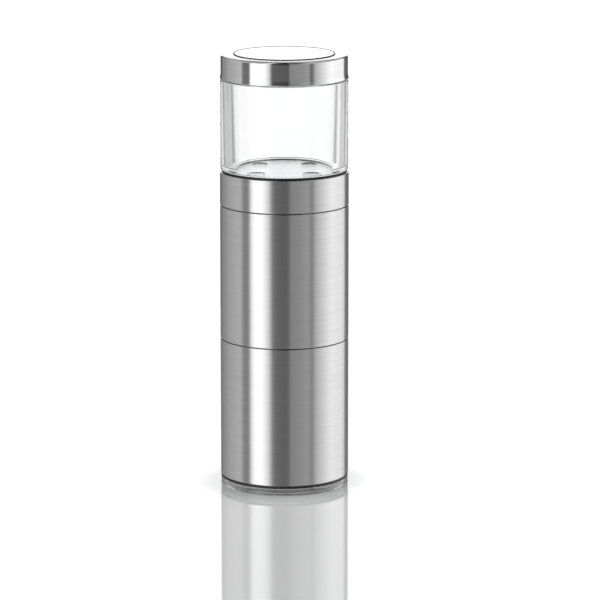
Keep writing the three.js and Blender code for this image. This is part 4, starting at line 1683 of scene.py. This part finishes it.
@dataclass
class Studio:
    """Pale floor, soft surroundings and the camera.

    Lengths are in metres, but in millimetres for floor_drop and what the floor and the tent shade by:
    contact_reach, dim_fade, tent_low and tent_high. A climb is a range of a ray's upward share.
    """

    axis_distance: float = 1.196
    height: float = 0.3138
    pitch: float = 11.745
    lens: float = 209.3
    clip_start: float = 0.01
    right_of_axis: float = 0.00545
    floor_radius: float = 1.4
    floor_drop: float = 0.02
    floor_fade: float = 1.0
    floor_colour: Colour = (0.72, 0.725, 0.73)
    floor_glow: float = 0.3
    contact_shade: float = 0.45
    contact_reach: float = 12.0
    floor_gloss: float = 0.25
    floor_roughness: float = 0.04
    painted_shade_through_cap: float = 0.13
    dim_fade: Range = (60.0, 100.0)
    tent_radius: float = 0.5
    tent_base: float = 0.001
    tent_top: float = 0.5
    tent_front: float = 0.9
    tent_back: float = 1.2
    tent_middle: float = 1.0
    tent_mirrored: float = 0.25
    tent_turn: Range = (0.35, 0.6)
    tent_low: Range = (80, 100)
    tent_high: Range = (150, 175)
    backdrop: float = 1.05
    through_jar: float = 1.1
    overhead_share: float = 0.6
    overhead_loss: float = 0.12
    behind: float = 1.5
    beside: float = 0.65
    edge_on: float = 0.9
    gain: Range = (0.72, 1.35)
    loss: Range = (-0.13, 0.21)
    level_climb: Range = (-0.26, -0.12)
    edge_on_turn: Range = (0.45, 0.461)
    overhead_climb: Range = (0.35, 0.65)
    centred_off: Range = (0.12, 0.4)
    beside_off: Range = (0.35, 0.6)
    beside_climb: Range = (0.3, 0.4)
    behind_climb: Range = (0.02, 0.08)
    behind_depth: Range = (0.6, 0.95)
    darkest: float = 0.02
    light_bounces: int = 48

    def build(self) -> None:
        """Makes the surroundings, the floor, the tent and the camera."""
        self.set_surroundings()
        self.lay_floor()
        self.hang_tent()
        self.set_camera()
        bpy.context.scene.view_settings.view_transform = "Standard"
        bpy.context.scene.view_settings.look = "None"
        self.follow_light()

    def follow_light(self) -> None:
        """Lets light pass back and forth inside the thick clear pieces as often as it really does."""
        paths = bpy.context.scene.cycles
        paths.max_bounces = self.light_bounces
        paths.glossy_bounces = self.light_bounces
        paths.transmission_bounces = self.light_bounces

    def set_camera(self) -> None:
        """Stands the camera where the photograph was taken from."""
        data = bpy.data.cameras.new("portrait")
        data.lens = self.lens
        data.clip_start = self.clip_start
        camera = bpy.data.objects.new("portrait", data)
        camera.location = (self.right_of_axis, -self.axis_distance, self.height)
        camera.rotation_euler = (math.pi / 2 - math.radians(self.pitch), 0, 0)
        bpy.context.collection.objects.link(camera)
        bpy.context.scene.camera = camera

    def set_surroundings(self) -> None:
        """Rings the mill with upright panels, light and dark, before a white backdrop."""
        world = bpy.data.worlds.new("studio")
        world.use_nodes = True
        bpy.context.scene.world = world
        recipe = Recipe(world.node_tree)
        way = recipe.node("ShaderNodeTexCoord", {}, {}, "Generated")
        parts = recipe.add("ShaderNodeSeparateXYZ", {}, {0: way})
        x, y, z = (Shade(recipe, parts.outputs[axis]) for axis in "XYZ")
        signed = x.maths("ARCTAN2", y * -1.0) / FULL_TURN
        panels = recipe.levels([stop for panel in PANELS for stop in panel.stops()], signed + 0.5)
        gain = z.ramped(self.level_climb, *self.gain)
        loss = z.ramped(self.level_climb, *self.loss)
        level = (panels * gain - loss).maths("MAXIMUM", self.darkest)
        undiffused = 1 - recipe.light_path("Is Diffuse Ray")
        edge_on = signed.maths("ABSOLUTE").ramped(self.edge_on_turn)
        level = level.mixed(self.edge_on, edge_on * undiffused)
        overhead = (level * self.overhead_share - self.overhead_loss).maths("MAXIMUM", 0.0)
        level = level.mixed(overhead, z.ramped(self.overhead_climb))
        off_centre = x.maths("ABSOLUTE")
        beside = off_centre.ramped(self.beside_off) * z.ramped(self.beside_climb)
        level = level.mixed(self.beside, beside * undiffused)
        centred = off_centre.ramped(self.centred_off, 1.0, 0.0)
        behind = z.ramped(self.behind_climb) * y.ramped(self.behind_depth) * centred
        level = level.mixed(self.behind, behind)
        level = level.mixed(self.through_jar, recipe.light_path("Is Transmission Ray"))
        level = level.mixed(self.backdrop, recipe.light_path("Is Camera Ray"))
        light = recipe.node("ShaderNodeBackground", {}, {"Color": (1, 1, 1, 1), "Strength": level}, 0)
        recipe.add("ShaderNodeOutputWorld", {}, {"Surface": light})

    def lay_floor(self) -> None:
        """Lays the floor and keeps it out of the steel's mirror."""
        bm = bmesh.new()
        bmesh.ops.create_circle(bm, cap_ends=True, radius=self.floor_radius, segments=FLOOR_STEPS)
        bmesh.ops.translate(bm, vec=(0, 0, -self.floor_drop * MM), verts=bm.verts)
        floor = placed(bm, "floor", self.floor_material())
        floor.visible_glossy = False

    def floor_material(self) -> bpy.types.Material:
        """A glossy pale surface that fades out at its rim, with a painted contact shadow in its glow round
        the cap's foot, and painted shade where it is seen through the cap.

        Returns:
            The floor's material.
        """
        material, recipe = fresh_material("pale_floor")
        x, y, _ = recipe.place()
        away = (x * x + y * y) ** 0.5
        # Painted contact shadow: the floor's glow is greyer within contact_reach of the cap's foot
        foot = Span.of("base_cap").radius
        open_share = away.ramped((foot, foot + self.contact_reach))
        shade = (self.contact_shade,) * 3
        looks = {
            "Base Color": (*self.floor_colour, 1),
            "Metallic": self.floor_gloss,
            "Roughness": self.floor_roughness,
            "Emission Color": recipe.blend(open_share, shade, (1, 1, 1)),
            "Emission Strength": self.floor_glow,
        }
        plain = recipe.node("ShaderNodeBsdfPrincipled", {}, looks, 0)
        # Painted shade: near the mill, rays that come through the clear pieces see a dim glow in place of
        # the floor
        near = away.ramped(self.dim_fade, 1.0, 0.0)
        through = recipe.light_path("Is Transmission Ray") * near
        dim = recipe.node("ShaderNodeEmission", {}, {"Strength": self.painted_shade_through_cap}, 0)
        shader = recipe.node("ShaderNodeMixShader", {}, {0: through, 1: plain, 2: dim}, 0)
        clear = recipe.node("ShaderNodeBsdfTransparent", {}, {}, 0)
        share = away.ramped((self.floor_fade / MM, self.floor_radius / MM))
        mixed = recipe.node("ShaderNodeMixShader", {}, {0: share, 1: shader, 2: clear}, 0)
        recipe.add("ShaderNodeOutputMaterial", {}, {"Surface": mixed})
        return material

    def hang_tent(self) -> None:
        """Hangs the light tent, which only the clear pieces show."""
        bm = bmesh.new()
        made = bmesh.ops.create_circle(bm, cap_ends=False, radius=self.tent_radius, segments=FINE_STEPS)
        bmesh.ops.translate(bm, vec=(0, 0, self.tent_base), verts=made["verts"])
        raised = bmesh.ops.extrude_edge_only(bm, edges=bm.edges[:])["geom"]
        rim = [item for item in raised if isinstance(item, bmesh.types.BMVert)]
        bmesh.ops.translate(bm, vec=(0, 0, self.tent_top - self.tent_base), verts=rim)
        tent = placed(bm, "light_tent", self.tent_material())
        for kind in ("camera", "diffuse", "glossy", "volume_scatter", "shadow"):
            setattr(tent, "visible_" + kind, False)

    def tent_material(self) -> bpy.types.Material:
        """Glowing cloth, bright and dark by turns round the mill, and plainer above.

        Returns:
            The tent's material.
        """
        material, recipe = fresh_material("tent_cloth")
        x, y, z = recipe.place()
        signed = x.maths("ARCTAN2", y * -1.0) / math.pi
        turn = signed.maths("ABSOLUTE")
        in_wall_stops = [(once_round(azimuth), level) for azimuth, level in SEEN_IN_JAR_WALL]
        in_wall = recipe.levels(in_wall_stops, signed / 2.0 + 0.5)
        open_stops = [(azimuth / HALF_TURN_DEGREES, level) for azimuth, level in SEEN_LOW_THROUGH_JAR]
        open_view = recipe.levels(open_stops, turn)
        mirrored = recipe.light_path("Glossy Depth").maths("MINIMUM", 1.0)
        middle = mirrored * (self.tent_mirrored - self.tent_middle) + self.tent_middle
        high = turn.ramped(self.tent_turn, self.tent_front, self.tent_back)
        level = open_view.mixed(in_wall, mirrored).mixed(middle, z.ramped(self.tent_low))
        level = level.mixed(high, z.ramped(self.tent_high))
        glow = recipe.node("ShaderNodeEmission", {}, {"Color": (1, 1, 1, 1), "Strength": level}, 0)
        recipe.add("ShaderNodeOutputMaterial", {}, {"Surface": glow})
        return material


def main() -> None:
    """Builds the studio and the mill on its frame."""
    logging.basicConfig(level=logging.INFO, format="%(name)s: %(message)s")
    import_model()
    Studio().build()
    workshop = Workshop(dressed_materials())
    for part in (BaseCap(), GrinderHalf(), BarrelHalf(), Head(), Pusher(), Lid()):
        part.build(workshop)
        LOG.info("%s done", type(part).__name__)
    LOG.info("%d pieces in all", workshop.made)


if __name__ == "__main__":
    main()
